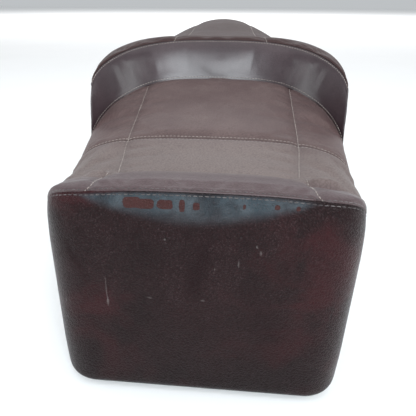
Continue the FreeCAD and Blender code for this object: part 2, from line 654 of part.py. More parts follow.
def hinge_leaf(label, face, inner, front, back, ear, bore):
    """A leaf of the hinge: a plate and two ears with a bored eye, drawn from the side and from above."""
    body = new_body(label)
    for side, name in ((-1, "left"), (1, "right")):
        sketch = new_sketch(body, "YZ_Plane", "ear_" + name)
        lean = "4" if label == "hinge_pan_leaf" else "8"
        span = [("-<ear_radius> * 0.7", "0"), ("<ear_radius> * 0.7", "0"),
                ("<ear_radius> + " + lean, inner + " - <hinge_level>"),
                ("-<ear_radius> * 0.7 + " + ("0" if label == "hinge_pan_leaf" else lean),
                 inner + " - <hinge_level>")]
        if label == "hinge_frame_leaf":
            span.reverse()
        polygon(sketch, span)
        inside = in_sheet(ear if side > 0 else "-%s - <ear_thick>" % ear)
        sketch.setExpression("AttachmentOffset.Base.z", inside)
        pad(body, sketch, "<ear_thick>", "ear_pad_" + name)
        eye = new_sketch(body, "YZ_Plane", "eye_" + name)
        hole_circle(eye, ("0", "0"), "<ear_radius>")
        eye.setExpression("AttachmentOffset.Base.z", inside)
        pad(body, eye, "<ear_thick>", "eye_pad_" + name)
    plate = new_sketch(body, "XY_Plane", "plate")
    polygon(plate, [("-<leaf_half>", front), ("<leaf_half>", front),
                    ("<leaf_half>", back), ("-<leaf_half>", back)])
    low = face if label == "hinge_frame_leaf" else inner
    plate.setExpression("AttachmentOffset.Base.z", in_sheet(low + " - <hinge_level>"))
    pad(body, plate, "<leaf_thick>", "plate_pad")
    drill = new_sketch(body, "YZ_Plane", "bore")
    hole_circle(drill, ("0", "0"), bore)
    cut = body.newObject("PartDesign::Pocket", "bore_pocket")
    cut.Profile = drill
    cut.Type = 0
    cut.Midplane = True
    cut.setExpression("Length", in_sheet("<leaf_half> * 4"))
    holes = new_sketch(body, "XY_Plane", "fixing_holes")
    if label == "hinge_pan_leaf":
        for x in ("<screw_half_span>", "-<screw_half_span>"):
            for y in ("<screw_front>", "<screw_front> + <screw_pitch>"):
                hole_circle(holes, (x, y), "<screw_hole_radius>")
    else:
        for x in ("<frame_bolt_half>", "-<frame_bolt_half>"):
            hole_circle(holes, (x, "<frame_bolt_back>"), "<frame_bolt_radius>")
    punch = body.newObject("PartDesign::Pocket", "fixing_pocket")
    punch.Profile = holes
    punch.Type = 0
    punch.Midplane = True
    punch.Length = 120
    doc.recompute()
    place(body, "0", HINGE_Y, "<hinge_level>")


def hexagon(x, y, level, radius, high):
    """An upright hexagonal prism."""
    corners = [Vector(x + radius * math.cos(math.radians(a)), y + radius * math.sin(math.radians(a)), level)
               for a in range(0, 361, 60)]
    return Part.Face(Part.makePolygon(corners)).extrude(Vector(0, 0, high))


def screw(x, y, level, shank):
    """A cap screw pointing up, its head's bearing face at a level."""
    low = level - size("screw_head_high")
    head = Part.makeCylinder(size("screw_head_radius"), size("screw_head_high"), Vector(x, y, low))
    head = head.cut(hexagon(x, y, low - 0.1, size("socket_radius"), size("socket_deep") + 0.1))
    shaft = Part.makeCylinder(size("screw_radius") - 0.02, shank, Vector(x, y, level))
    return head.fuse(shaft).removeSplitter()


def make_striker():
    """The latch striker at the tail: a bent rod, its plate, a backing plate, screws and nuts."""
    s = size("striker_back")
    y = s - size("seat_length") / 2
    deep, wide = size("striker_plate_deep"), size("striker_plate_half")
    under = min(deck_underside(s - deep), deck_underside(s + deep))
    thick, rod, half = size("striker_plate_thick"), size("striker_rod"), size("striker_half")
    plate_top = under - 0.6
    low = plate_top - size("striker_drop")
    bend = half - rod * 1.2
    turn_in = bend * (1 - math.sqrt(0.5))
    foot = Vector(-half, y, plate_top)
    path = [Part.makeLine(foot, Vector(-half, y, low + bend)),
            Part.Arc(Vector(-half, y, low + bend), Vector(-half + turn_in, y, low + turn_in),
                     Vector(-half + bend, y, low)).toShape(),
            Part.makeLine(Vector(-half + bend, y, low), Vector(half - bend, y, low)),
            Part.Arc(Vector(half - bend, y, low), Vector(half - turn_in, y, low + turn_in),
                     Vector(half, y, low + bend)).toShape(),
            Part.makeLine(Vector(half, y, low + bend), Vector(half, y, plate_top))]
    profile = Part.Wire(Part.makeCircle(rod, foot, Vector(0, 0, -1)))
    keep("striker_loop", Part.Wire(path).makePipeShell([profile], True, True))
    backing_low = plate_top + size("pan_wall") + size("striker_backing_gap")
    plate = Part.makeBox(2 * wide, 2 * deep, thick, Vector(-wide, y - deep, plate_top - thick))
    backing = Part.makeBox(2 * wide, 2 * deep, thick, Vector(-wide, y - deep, backing_low))
    for side in (-1, 1):
        plate = plate.cut(Part.makeCylinder(rod + 0.03, 20, Vector(side * half, y, plate_top - 10)))
    screws, nuts = [], []
    nut_low = backing_low + thick + 0.03
    for px, py in striker_screw_places():
        hole = Part.makeCylinder(size("screw_hole_radius"), 40, Vector(px, py, plate_top - 20))
        plate = plate.cut(hole)
        backing = backing.cut(hole)
        bearing = plate_top - thick - 0.02
        screws.append(screw(px, py, bearing, nut_low + size("nut_high") - bearing))
        nut = hexagon(px, py, nut_low, size("nut_radius"), size("nut_high"))
        bore = Part.makeCylinder(size("screw_radius") + 0.02, 30, Vector(px, py, nut_low - 10))
        nuts.append(nut.cut(bore))
    keep("striker_plate", plate)
    keep("striker_backing_plate", backing)
    keep("striker_screws", Part.makeCompound(screws))
    keep("striker_nuts", Part.makeCompound(nuts))


def make_buffers():
    """The rubber buffers that the seat closes on, each plugged into its boss."""
    names = [row + "_" + side for row in BUFFER_ROWS for side in ("left", "right")]
    for name, (s, x) in zip(names, buffer_places()):
        body = new_body("buffer_" + name)
        turn(body, [("0", "-<buffer_high>"), ("<buffer_radius> - 2", "-<buffer_high>"),
                    ("<buffer_radius>", "-<buffer_high> + 2"), ("<buffer_radius>", "-0.05"),
                    ("<buffer_stem>", "-0.05"), ("<buffer_stem>", "<buffer_stem_long>"),
                    ("0", "<buffer_stem_long>")], "buffer")
        level = floor_height(s) + size("pan_lift") + size("boss_rise")
        row = name.split("_")[0]
        place(body, "%d * <buffer_%s_side>" % (math.copysign(1, x), row),
              "<buffer_%s_back> - <seat_length> / 2" % row, "%.3f" % level)


def check_document():
    """Stops the build if any object failed or any piece is null or not valid."""
    for item in doc.Objects:
        for state in item.State:
            if state in ("Invalid", "Error"):
                raise RuntimeError("%s is %s" % (item.Label, state))
    for piece in PIECES:
        if piece.Shape.isNull() or not piece.Shape.isValid() or not piece.Shape.Solids:
            raise RuntimeError("%s has no valid solid" % piece.Label)


def main():
    fill_sheet()
    form = Form()
    outside = form.solid().common(above_floor(0.0))
    make_covers(form, outside)
    make_pan(form)
    make_foams(form)
    make_staples(form)
    make_hinge()
    make_striker()
    make_buffers()
    doc.recompute()
    check_document()
    os.makedirs("parts", exist_ok=True)
    for piece in PIECES:
        piece.Shape.exportStep("parts/%s.step" % piece.Label)
        box = piece.Shape.BoundBox
        print("%-24s solids %3d  volume %9.0f  z %6.1f..%6.1f" % (
            piece.Label, len(piece.Shape.Solids), piece.Shape.Volume, box.ZMin, box.ZMax))


main()
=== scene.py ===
import bpy
import json
import math
import numpy as np
from mathutils import Matrix, Vector


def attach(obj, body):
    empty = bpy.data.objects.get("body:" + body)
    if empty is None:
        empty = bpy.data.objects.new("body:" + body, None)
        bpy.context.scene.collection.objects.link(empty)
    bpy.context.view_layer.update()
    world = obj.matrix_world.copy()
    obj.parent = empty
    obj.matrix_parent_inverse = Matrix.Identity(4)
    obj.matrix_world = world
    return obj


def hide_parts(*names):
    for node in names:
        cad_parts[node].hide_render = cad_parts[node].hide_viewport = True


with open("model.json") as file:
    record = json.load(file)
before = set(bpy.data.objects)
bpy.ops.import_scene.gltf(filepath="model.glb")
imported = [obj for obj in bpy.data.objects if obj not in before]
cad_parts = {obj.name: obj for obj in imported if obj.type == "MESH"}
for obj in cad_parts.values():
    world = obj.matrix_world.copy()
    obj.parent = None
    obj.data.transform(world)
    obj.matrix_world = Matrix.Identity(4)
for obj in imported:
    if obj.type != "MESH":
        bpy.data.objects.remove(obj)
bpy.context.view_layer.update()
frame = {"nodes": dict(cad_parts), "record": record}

# Two-up stepped seat: sewn leather panels over foam, on a moulded pan with a hinge and a latch striker.
# Lengths in the dictionaries are millimetres; meshes are made in metres, in the frame of the CAD model.

mm = 0.001


def say(text):
    print("seat:", text)


def clearSelection():
    if bpy.context.object and bpy.context.object.mode != "OBJECT":
        bpy.ops.object.mode_set(mode="OBJECT")
    bpy.ops.object.select_all(action="DESELECT")


def makeActive(piece):
    clearSelection()
    piece.select_set(True)
    bpy.context.view_layer.objects.active = piece


def applyModifier(piece, kind, **settings):
    makeActive(piece)
    modifier = piece.modifiers.new(kind.lower(), kind)
    for key, value in settings.items():
        setattr(modifier, key, value)
    bpy.ops.object.modifier_apply(modifier=modifier.name)


def newPiece(name, verts, faces):
    mesh = bpy.data.meshes.new(name)
    mesh.from_pydata([tuple(v) for v in verts], [], faces)
    piece = bpy.data.objects.new(name, mesh)
    bpy.context.scene.collection.objects.link(piece)
    return piece


def gridFaces(rows, cols):
    faces = []
    for i in range(rows - 1):
        for j in range(cols - 1):
            a = i * cols + j
            faces.append((a, a + 1, a + cols + 1, a + cols))
    return faces


def paintAttribute(piece, name, values):
    layer = piece.data.attributes.new(name, "FLOAT", "POINT")
    layer.data.foreach_set("value", np.asarray(values, dtype=np.float32).ravel())


def smoothCurve(points, at):
    # a smooth curve through the points that never overshoots them
    xs, ys = np.array(points, float).T
    at = np.clip(np.asarray(at, float), xs[0], xs[-1])
    slope = np.diff(ys) / np.diff(xs)
    product = slope[:-1] * slope[1:]
    total = np.where(product > 0, slope[:-1] + slope[1:], 1.0)
    inner = np.where(product > 0, 2 * product / total, 0.0)
    tangent = np.concatenate([[slope[0]], inner, [slope[-1]]])
    k = np.clip(np.searchsorted(xs, at, side="right") - 1, 0, len(xs) - 2)
    run = xs[k + 1] - xs[k]
    t = (at - xs[k]) / run
    return ((2 * t**3 - 3 * t**2 + 1) * ys[k] + (t**3 - 2 * t**2 + t) * tangent[k] * run
            + (3 * t**2 - 2 * t**3) * ys[k + 1] + (t**3 - t**2) * tangent[k + 1] * run)


def softStep(low, high, at):
    t = np.clip((np.asarray(at, float) - low) / (high - low), 0, 1)
    return t * t * (3 - 2 * t)


form = {
    "length": 706, "noseHalf": 120, "noseCorner": 32, "edgeDrop": 10, "edgeRun": 9, "wallDraft": 3,
    "tailStart": 600, "tailHalf": 112, "tailTaper": 0.28, "tailPower": 3, "tailTip": 712,
    "stepFoot": 376, "stepWrap": 115, "stepPower": 3.3, "stepRun": 34, "bandRun": 27, "crossSeam": 186,
    "riseStart": 70, "riseEnd": 200, "floorRise": 78, "floorTail": 100,
    "half": [(32, 120), (48, 124.5), (84, 135), (130, 143), (186, 148), (260, 155), (330, 165), (376, 169),
             (405, 167), (455, 153), (520, 134), (580, 118), (600, 112)],
    "riderCrown": [(20, 187), (48, 180), (84, 165), (130, 165), (186, 170.5), (260, 180), (330, 191),
                   (376, 200), (440, 206)],
    "riderDepth": [(20, 22), (48, 25), (84, 33), (130, 40), (186, 48), (260, 51), (330, 52), (376, 54),
                   (440, 56)],
    "riderPower": [(20, 2.8), (48, 2.8), (84, 3.0), (130, 3.1), (186, 3.1), (260, 3.0), (440, 3.0)],
    "pillionCrown": [(250, 246), (405, 254), (455, 247), (520, 252), (580, 262), (630, 266), (670, 259),
                     (712, 226)],
    "pillionDepth": [(250, 50), (405, 54), (455, 60), (520, 70), (580, 88), (630, 98), (670, 100), (712, 80)],
    "pillionPower": [(250, 2.7), (405, 2.7), (455, 2.5), (520, 2.3), (580, 2.15), (630, 2.1), (712, 2.1)],
    "sideSeam": [(20, 171), (32, 157), (48, 140), (66, 126), (84, 119), (130, 115), (186, 116), (260, 122),
                 (300, 131), (350, 149), (405, 163), (455, 166), (520, 164), (580, 160), (630, 156),
                 (670, 150), (712, 140)],
    "frontSeam": 3.5, "frontSeamEnd": 20, "frontSeamPower": 14, "noseSeam": 92, "tailSeam": 610,
    "tailLine": [(390, 66), (455, 58), (520, 52), (640, 44), (690, 38), (712, 20)],
    "stitchLine": [(0, 84), (16, 79), (70, 78), (120, 83), (182, 90), (350, 97), (420, 99)],
}

def half(s):
    # half width of the plan outline at a distance s from the nose
    s = np.asarray(s, float)
    corner = form["noseCorner"]
    nose = form["noseHalf"] - corner + np.sqrt(np.clip(corner**2 - (corner - s) ** 2, 0, None))
    t = np.clip((s - form["tailStart"]) / (form["tailTip"] - form["tailStart"]), 0, 1)
    power = form["tailPower"]
    taper = form["tailHalf"] - form["tailTaper"] * (s - form["tailStart"])
    tail = taper * (1 - t**power) ** (1 / power)
    return np.where(s < corner, nose, np.where(s > form["tailStart"], tail, smoothCurve(form["half"], s)))


def arch(crown, depth, power, share, s):
    share = np.abs(share) * np.where(s < form["noseCorner"], half(s) / form["noseHalf"], 1.0)
    p = smoothCurve(form[power], s)
    drop = 1 - (1 - np.clip(share, 0, 1) ** p) ** (1 / p)
    return smoothCurve(form[crown], s) - smoothCurve(form[depth], s) * drop


def edgeDistance(x, s):
    # how far inside the rounded plan of the nose a point lies
    corner = form["noseCorner"]
    side = np.abs(x) - (form["noseHalf"] - corner)
    round_ = corner - np.hypot(corner - s, np.clip(side, 0, None))
    return np.where(side > 0, round_, s)


def top(share, s):
    # height of the seat's top
    share, s = np.broadcast_arrays(np.asarray(share, float), np.asarray(s, float))
    low = arch("riderCrown", "riderDepth", "riderPower", share, s)
    away = np.clip(edgeDistance(share * half(s), s) / form["edgeRun"], 0, 1)
    fade = np.sqrt(np.clip(1 - s / form["noseCorner"], 0, 1))
    low = low - form["edgeDrop"] * fade * (1 - np.sqrt(1 - (1 - away) ** 2))
    foot = form["stepFoot"] - form["stepWrap"] * np.abs(share) ** form["stepPower"]
    t = np.clip((s - foot) / form["stepRun"], 0, 1)
    high = arch("pillionCrown", "pillionDepth", "pillionPower", share, s)
    return low + (high - low) * np.sin(t * math.pi / 2)


def bow(station):
    # how fully a row follows the step's foot
    return smoothCurve([(form["crossSeam"], 0), (form["stepFoot"] - 60, 0.8), (form["stepFoot"], 1),
                        (form["stepFoot"] + form["stepRun"], 1), (form["tailStart"], 0)], station)


def along(share, station):
    # distance from the nose of a point on a bowed row
    noseBow = (form["frontSeamEnd"] - form["frontSeam"]) * (1 - softStep(form["frontSeam"], 60, station))
    return (station - bow(station) * form["stepWrap"] * np.abs(share) ** form["stepPower"]
            + noseBow * np.abs(share) ** form["frontSeamPower"])


def floorHeight(s):
    # level of the underside
    s = np.asarray(s, float)
    t = np.clip((s - form["riseStart"]) / (form["riseEnd"] - form["riseStart"]), 0, 1)
    rise = form["floorRise"] * t * t * (3 - 2 * t)
    slope = (form["floorTail"] - form["floorRise"]) / (form["length"] - form["riseEnd"])
    return rise + np.clip(slope * (s - form["riseEnd"]), 0, None)


def inFrame(x, s, z):
    # millimetres from the nose to metres in the part's frame
    return np.stack([x * mm, (s - form["length"] / 2) * mm, z * mm], -1)


def sideWall(s, z):
    # half width of the wall at a level: it drafts in towards the bottom
    edge = top(1.0, s)
    return half(s) - form["wallDraft"] * np.clip((edge - z) / (edge + 20), 0, 1)


def travelled(line):
    # distance along a polyline to each of its points
    return np.concatenate([[0], np.cumsum(np.linalg.norm(np.diff(line, axis=0), axis=1))])


def between(at, known, values):
    # the columns of a table, read between its rows
    return np.stack([np.interp(at, known, values[:, k]) for k in range(values.shape[1])], -1)


def resample(line, count=None, at=None):
    # points along a polyline at given distances, or evenly spread
    travel = travelled(line)
    return between(np.linspace(0, travel[-1], count) if at is None else at, travel, line)


nearSeam = [0, 0.35, 0.8, 1.3, 1.9, 2.6, 3.4, 4.3, 5.4, 6.8, 8.5]


def spacing(length, pitch, both=True):
    # distances that are close together beside a seam and even between seams
    near = np.array(nearSeam)
    last = length - near[-1] if both else length
    middle = np.linspace(near[-1], last, max(2, int(round((last - near[-1]) / pitch)) + 1))
    return np.concatenate([near[:-1], middle, length - near[:-1][::-1] if both else []])


def stretch(distances, oldLength, newLength):
    # the same spacing on a longer or shorter row: only the part away from the seam changes
    near = nearSeam[-1]
    return np.where(distances <= near, distances,
                    near + (distances - near) * (newLength - near) / (oldLength - near))


shareSteps = np.sin(np.linspace(0, math.pi / 2, 161)) ** 0.85


def crossRow(station):
    # one row over the top, from the centre line to the side seam, as a fine polyline
    s = along(shareSteps, station)
    line = inFrame(shareSteps * half(s), s, top(shareSteps, s))
    sEnd = s[-1]
    high, low = top(1.0, sEnd), smoothCurve(form["sideSeam"], sEnd)
    if high - low > 0.3:
        z = np.linspace(high, low, 24)[1:]
        line = np.vstack([line, inFrame(sideWall(sEnd, z), np.full_like(z, sEnd), z)])
    return line


def topGrid(first, last, pitch, fine=True):
    # the panel between two stations: rows go back, columns go from -X to +X
    middle = np.linspace(first, last, 200)
    travel = travelled(inFrame(np.zeros_like(middle), middle, top(0.0, middle))) / mm
    long = travel[-1]
    rowsAt = spacing(long, pitch) if fine else np.linspace(0, long, max(3, int(long / pitch)))
    stations = np.interp(rowsAt, travel, middle)
    rows = [crossRow(station) for station in stations]
    lengths = np.array([travelled(row)[-1] / mm for row in rows])
    widest = lengths.max()
    fromEdge = spacing(widest, pitch, both=False)[::-1]
    grid, across = [], []
    for row, length in zip(rows, lengths):
        if fine:
            at = np.clip(length - stretch(fromEdge, widest, length), 0, length)
        else:
            at = np.linspace(0, length, int(widest / pitch))
        side = resample(row, at=at * mm)
        grid.append(np.vstack([side[:0:-1] * (-1, 1, 1), side]))
        across.append(np.concatenate([-at[:0:-1], at]))
    grid, across = np.array(grid), np.array(across)
    reach = lengths[:, None] * np.ones_like(across)
    return {"points": grid, "across": across, "reach": reach, "stations": stations,
            "fromFront": rowsAt[:, None] * np.ones_like(across), "long": long}


def outlineTable():
    # plan outline of the right-hand side from the middle of the nose to the tip of the tail
    corner, wide = form["noseCorner"], form["noseHalf"]
    front = [(x, 0.0) for x in np.linspace(0, wide - corner, 60)[:-1]]
    s = corner * (1 - np.cos(np.linspace(0, math.pi / 2, 40)))
    tip = form["tailTip"]
    start = form["tailStart"]
    s = np.concatenate([s, np.linspace(corner, start, 400)[1:],
                        start + (tip - start) * np.sin(np.linspace(0, math.pi / 2, 90))[1:]])
    points = np.array(front + list(zip(half(s), s)))
    return travelled(points), points


outlineTravel, outlinePoints = outlineTable()
outlineHalf = float(outlineTravel[-1])


def outlineAt(p):
    # a place on the plan outline, p millimetres from the middle of the nose, and its outward normal
    wrapped = (p + outlineHalf) % (2 * outlineHalf) - outlineHalf
    sign = -1.0 if wrapped < 0 else 1.0
    q = abs(wrapped)
    near = 0.6
    x, s = between(q, outlineTravel, outlinePoints).tolist()
    ahead = between(min(q + near, outlineHalf), outlineTravel, outlinePoints)
    behind = between(max(q - near, 0), outlineTravel, outlinePoints)
    tx, ts = (ahead - behind).tolist()
    size = math.hypot(tx, ts)
    if q > outlineHalf - near:
        tx, ts, size = -1.0, 0.0, 1.0
    return sign * x, s, sign * ts / size, -tx / size


def outlineTo(s):
    # distance round the outline at which it is s from the nose
    return float(np.interp(s, outlinePoints[60:, 1], outlineTravel[60:]))


def seamInset():
    # how far in from the outline the nose seam runs, by distance round the outline
    share = np.sin(np.linspace(0, math.pi / 2, 400)) ** 0.6
    s = form["frontSeam"] + (form["frontSeamEnd"] - form["frontSeam"]) * share ** form["frontSeamPower"]
    x = share * half(s)
    corner, wide = form["noseCorner"], form["noseHalf"]
    angle = np.arctan2(np.clip(x - wide + corner, 0, None), corner - s)
    travel = np.where(x < wide - corner, x, wide - corner + corner * angle)
    return travel, edgeDistance(x, s)


seamTravel, seamInsets = seamInset()
wallShape = {"hem": 18, "hemRound": 11, "browFrom": 146, "browHigh": 34, "browBack": 3.2}


def wallColumn(p):
    # one column of a wall panel, from the hem's inner edge, round the rim and up to the seam
    x, s, nx, ns = outlineAt(p)
    sign = 1 if nx >= 0 else -1
    q = abs((p + outlineHalf) % (2 * outlineHalf) - outlineHalf)
    edge = float(top(1.0, s))
    if s < form["noseCorner"]:
        edge = float(top(abs(x) / max(float(half(s)), 1e-6), s))
    onNose = q <= seamTravel[-1]
    upTo = edge if onNose else min(edge - 0.2, float(smoothCurve(form["sideSeam"], s)))

    def inward(depth, z):
        draft = form["wallDraft"] * np.clip((edge - z) / (edge + 20), 0, 1)
        brow = softStep(0, 1, (z - wallShape["browFrom"]) / wallShape["browHigh"])
        depth = depth + draft + wallShape["browBack"] * brow * noseShare
        return x - nx * depth, s - ns * depth

    noseShare = 1 - float(softStep(60, form["noseHalf"] + 20, q))
    round_ = wallShape["hemRound"]
    low = float(floorHeight(s))
    line = []
    for depth in np.linspace(wallShape["hem"], round_, 8):
        px, ps = inward(depth, low)
        line.append((px, ps, float(floorHeight(ps))))
    for a in np.linspace(0, math.pi / 2, 7)[1:]:
        px, ps = inward(round_ * (1 - math.sin(a)), low)
        line.append((px, ps, low + round_ * (1 - math.cos(a))))
    for z in np.linspace(low + round_, upTo, 60)[1:]:
        px, ps = inward(0.0, z)
        line.append((px, ps, z))
    if onNose:
        deepest = float(np.interp(q, seamTravel, seamInsets))
        for depth in deepest * np.linspace(0, 1, 16)[1:] ** 1.6:
            fall = wallShape["browBack"] * noseShare * (1 - depth / deepest) if deepest > 0 else 0
            px, ps = x - nx * (depth + fall), s - ns * (depth + fall)
            px2, ps2 = x - nx * depth, s - ns * depth
            line.append((px, ps, float(top(px2 / max(float(half(max(ps2, 0))), 1e-6), max(ps2, 0)))))
    line = np.array(line)
    return inFrame(line[:, 0], line[:, 1], line[:, 2])


def wallGrid(first, last, pitch):
    # the panel between two places on the outline: rows go up, columns go round from -X to +X
    total = last - first
    places = first + spacing(total, pitch)
    columns = [wallColumn(p) for p in places]
    lengths = np.array([travelled(column)[-1] / mm for column in columns])
    longest = lengths.max()
    fromEdge = spacing(longest, pitch, both=False)[::-1]
    grid, up = [], []
    for column, length in zip(columns, lengths):
        at = np.clip(length - stretch(fromEdge, longest, length), 0, length)
        grid.append(resample(column, at=at * mm))
        up.append(at)
    points = np.array(grid).transpose(1, 0, 2)
    up = np.array(up).T
    fromEnds = np.minimum(places - first, last - places)[None, :] * np.ones_like(up)
    return {"points": points, "fromSeam": lengths[None, :] - up, "fromEnds": fromEnds, "places": places}


def gridNormals(points):
    down = np.gradient(points, axis=0)
    over = np.gradient(points, axis=1)
    normal = np.cross(over, down)
    size = np.linalg.norm(normal, axis=2, keepdims=True)
    return normal / np.maximum(size, 1e-12)


sewing = {"rollDeep": 1.5, "rollWide": 2.4, "sinkDeep": 1.3, "sinkWide": 9, "stitchAt": 3.4,
          "stitchDeep": 0.35, "stitchWide": 1.1, "lineDeep": 1.0, "lineWide": 5.0, "thick": 1.3}


def seamFall(distance, sink=1.0, stitched=True):
    # how far the leather lies below the form at a distance from a sewn edge
    d = np.clip(distance, 0, None)
    roll = sewing["rollDeep"] * (1 - np.sqrt(1 - np.clip(1 - d / sewing["rollWide"], 0, 1) ** 2))
    fall = roll + sink * sewing["sinkDeep"] * np.exp(-((d / sewing["sinkWide"]) ** 2))
    if stitched:
        fall = fall + sewing["stitchDeep"] * np.exp(-(((d - sewing["stitchAt"]) / sewing["stitchWide"]) ** 2))
    return fall


puffing = {"pitch": 7, "columns": 61, "pressure": 3.0, "cap": 3.2, "frames": 20}


def lineDistance(points, line="stitchLine"):
    # distance to the two lengthways stitch lines
    x = points[..., 0] / mm
    s = points[..., 1] / mm + form["length"] / 2
    return np.abs(np.abs(x) - smoothCurve(form[line], s)), s


def puffField():
    # the covers are pressed outward by the foam: a cloth, held at its seams, is blown up a little
    tip = form["tailTip"] - 0.5
    cuts = [form["frontSeam"], form["crossSeam"], form["stepFoot"], form["stepFoot"] + form["bandRun"], tip]
    blocks = [topGrid(a, b, puffing["pitch"], fine=False) for a, b in zip(cuts, cuts[1:])]
    rows, stations, held = [], [], []
    for k, block in enumerate(blocks):
        for i, row in enumerate(block["points"]):
            if k and i == 0:
                continue
            rows.append(resample(row, count=puffing["columns"]))
            stations.append(block["stations"][i])
            held.append(i == 0 or i == len(block["points"]) - 1)
    points, stations = np.array(rows), np.array(stations)
    pins = np.zeros(points.shape[:2], bool)
    pins[np.array(held)] = True
    pins[:, :2] = pins[:, -2:] = True
    distance, s = lineDistance(points)
    pins |= (distance < 3.6) & (s < 372) & (stations[:, None] < form["stepFoot"])
    normals = gridNormals(points)
    lift = np.zeros(points.shape[:2])
    sheet = newPiece("cloth_sim", points.reshape(-1, 3), gridFaces(*points.shape[:2]))
    group = sheet.vertex_groups.new(name="held")
    group.add([int(k) for k in np.flatnonzero(pins.ravel())], 1.0, "REPLACE")
    cloth = sheet.modifiers.new("cloth", "CLOTH").settings
    cloth.vertex_group_mass = "held"
    cloth.mass = 0.25
    cloth.tension_stiffness = cloth.compression_stiffness = 12
    cloth.shear_stiffness = 6
    cloth.bending_stiffness = 0.6
    cloth.use_pressure = True
    cloth.uniform_pressure_force = puffing["pressure"]
    cloth.shrink_min = -0.012
    cloth.effector_weights.gravity = 0
    for number in range(1, puffing["frames"] + 1):
        bpy.context.scene.frame_set(number)
    makeActive(sheet)
    bpy.ops.object.modifier_apply(modifier="cloth")
    moved = np.empty(points.size)
    sheet.data.vertices.foreach_get("co", moved)
    lift = ((moved.reshape(points.shape) - points) * normals).sum(2) / mm
    bpy.data.objects.remove(sheet)
    bpy.context.scene.frame_set(1)
    say("cloth lift %.2f to %.2f mm" % (lift.min(), lift.max()))
    lift = puffing["cap"] * np.tanh(lift / puffing["cap"])
    return {"lift": lift, "stations": stations}


def puffAt(field, station, share):
    # the lift at a station and a share of the row's width from -1 to 1
    row = np.interp(station, field["stations"], np.arange(len(field["stations"])))
    last = puffing["columns"] - 1
    col = (np.clip(share, -1, 1) + 1) / 2 * last
    i = np.clip(np.floor(row).astype(int), 0, len(field["stations"]) - 2)
    j = np.clip(np.floor(col).astype(int), 0, last - 1)
    a, b = row - i, col - j
    lift = field["lift"]
    return (lift[i, j] * (1 - a) * (1 - b) + lift[i + 1, j] * a * (1 - b)
            + lift[i, j + 1] * (1 - a) * b + lift[i + 1, j + 1] * a * b)


# folds where the cover is gathered behind the nose: places (across, from the nose), height, width
folds = [
    ([(68, 57), (82, 50), (97, 49), (109, 54), (120, 66)], 5.8, 4.6),
    ([(76, 43), (88, 39), (101, 40), (114, 47)], -4.0, 3.4),
    ([(-70, 61), (-79, 55), (-91, 56), (-100, 65)], 4.6, 4.0),
    ([(-72, 48), (-84, 43), (-98, 47)], -2.8, 3.0),
    ([(-98, 52), (-108, 53), (-118, 60)], 3.2, 3.4),
    ([(74, 72), (88, 84), (100, 99), (112, 116)], 3.4, 4.2),
    ([(80, 65), (95, 75), (108, 90), (119, 106)], -5.2, 4.0),
    ([(88, 55), (102, 63), (114, 77), (125, 92)], 3.4, 3.8),
    ([(98, 46), (110, 53), (120, 64), (129, 78)], -2.6, 3.4),
    ([(-72, 76), (-85, 82), (-97, 92), (-106, 106)], 3.4, 3.8),
    ([(-84, 68), (-96, 76), (-107, 87), (-117, 100)], -4.2, 3.6),
    ([(-96, 56), (-107, 64), (-116, 75), (-124, 88)], 2.8, 3.6),
]


def ridgeLift(first, second, marks, reach, trim, power):
    # low ridges and grooves along drawn lines, fading out at the lines' ends
    lift = np.zeros_like(first)
    fine = np.linspace(0, 1, 40)
    for places, high, wide in marks:
        line = between(fine, np.linspace(0, 1, len(places)), np.array(places, float))
        middle = line.mean(0)
        near = (np.abs(first - middle[0]) < reach) & (np.abs(second - middle[1]) < reach)
        away = np.hypot(first[near][:, None] - line[:, 0], second[near][:, None] - line[:, 1])
        taper = np.sin(np.clip(fine[away.argmin(1)], trim, 1 - trim) * math.pi) ** power
        lift[near] += high * taper * np.exp(-((away.min(1) / wide) ** 2))
    return lift


def finishShell(piece, material):
    applyModifier(piece, "WELD", merge_threshold=0.04 * mm)
    applyModifier(piece, "SOLIDIFY", thickness=sewing["thick"] * mm, offset=-1, use_even_offset=False)
    makeActive(piece)
    bpy.ops.object.shade_smooth()
    piece.data.materials.clear()
    piece.data.materials.append(material)


topPanels = {}


def topPanel(name, first, last, pitch, tuck, line=None, backSeam=True, puffed=1.0):
    # one sewn panel of the top, as its points, normals and distances from its seams
    grid = topGrid(first, last, pitch)
    points, normals = grid["points"], gridNormals(grid["points"])
    fromRows = grid["fromFront"]
    if backSeam:
        fromRows = np.minimum(fromRows, grid["long"] - fromRows)
    fromSides = grid["reach"] - np.abs(grid["across"])
    frontNear = softStep(0.3, 0.7, grid["fromFront"] / grid["long"])
    rowFall = seamFall(fromRows) * (tuck[0] + (tuck[1] - tuck[0]) * frontNear)
    fall = np.maximum(rowFall, seamFall(fromSides))
    share = grid["across"] / grid["reach"]
    lift = puffAt(puff, grid["stations"][:, None] * np.ones_like(share), share)
    lift = lift * (1 - np.exp(-np.minimum(fromRows, fromSides) / 6)) * puffed
    distance, s = lineDistance(points, line or "stitchLine")
    lineMask = np.zeros_like(distance)
    if line:
        lineMask = np.exp(-((distance / sewing["lineWide"]) ** 2))
        fall = fall + sewing["lineDeep"] * lineMask + 0.35 * np.exp(-((distance / 1.1) ** 2))
    if first < form["crossSeam"]:
        lift = lift + ridgeLift(points[..., 0] / mm, s, folds, 60, 0.02, 0.7)
    moved = points + normals * ((lift - fall) * mm)[..., None]
    nearEdge = np.exp(-np.minimum(fromRows, fromSides) / 5)
    topPanels[name] = dict(grid, moved=moved, normals=gridNormals(moved), s=s, distance=distance)
    rows, cols = points.shape[:2]
    piece = newPiece(name, moved.reshape(-1, 3), gridFaces(rows, cols))
    paintAttribute(piece, "nearSeam", nearEdge)
    paintAttribute(piece, "nearLine", lineMask)
    return piece


wallPanels = {}


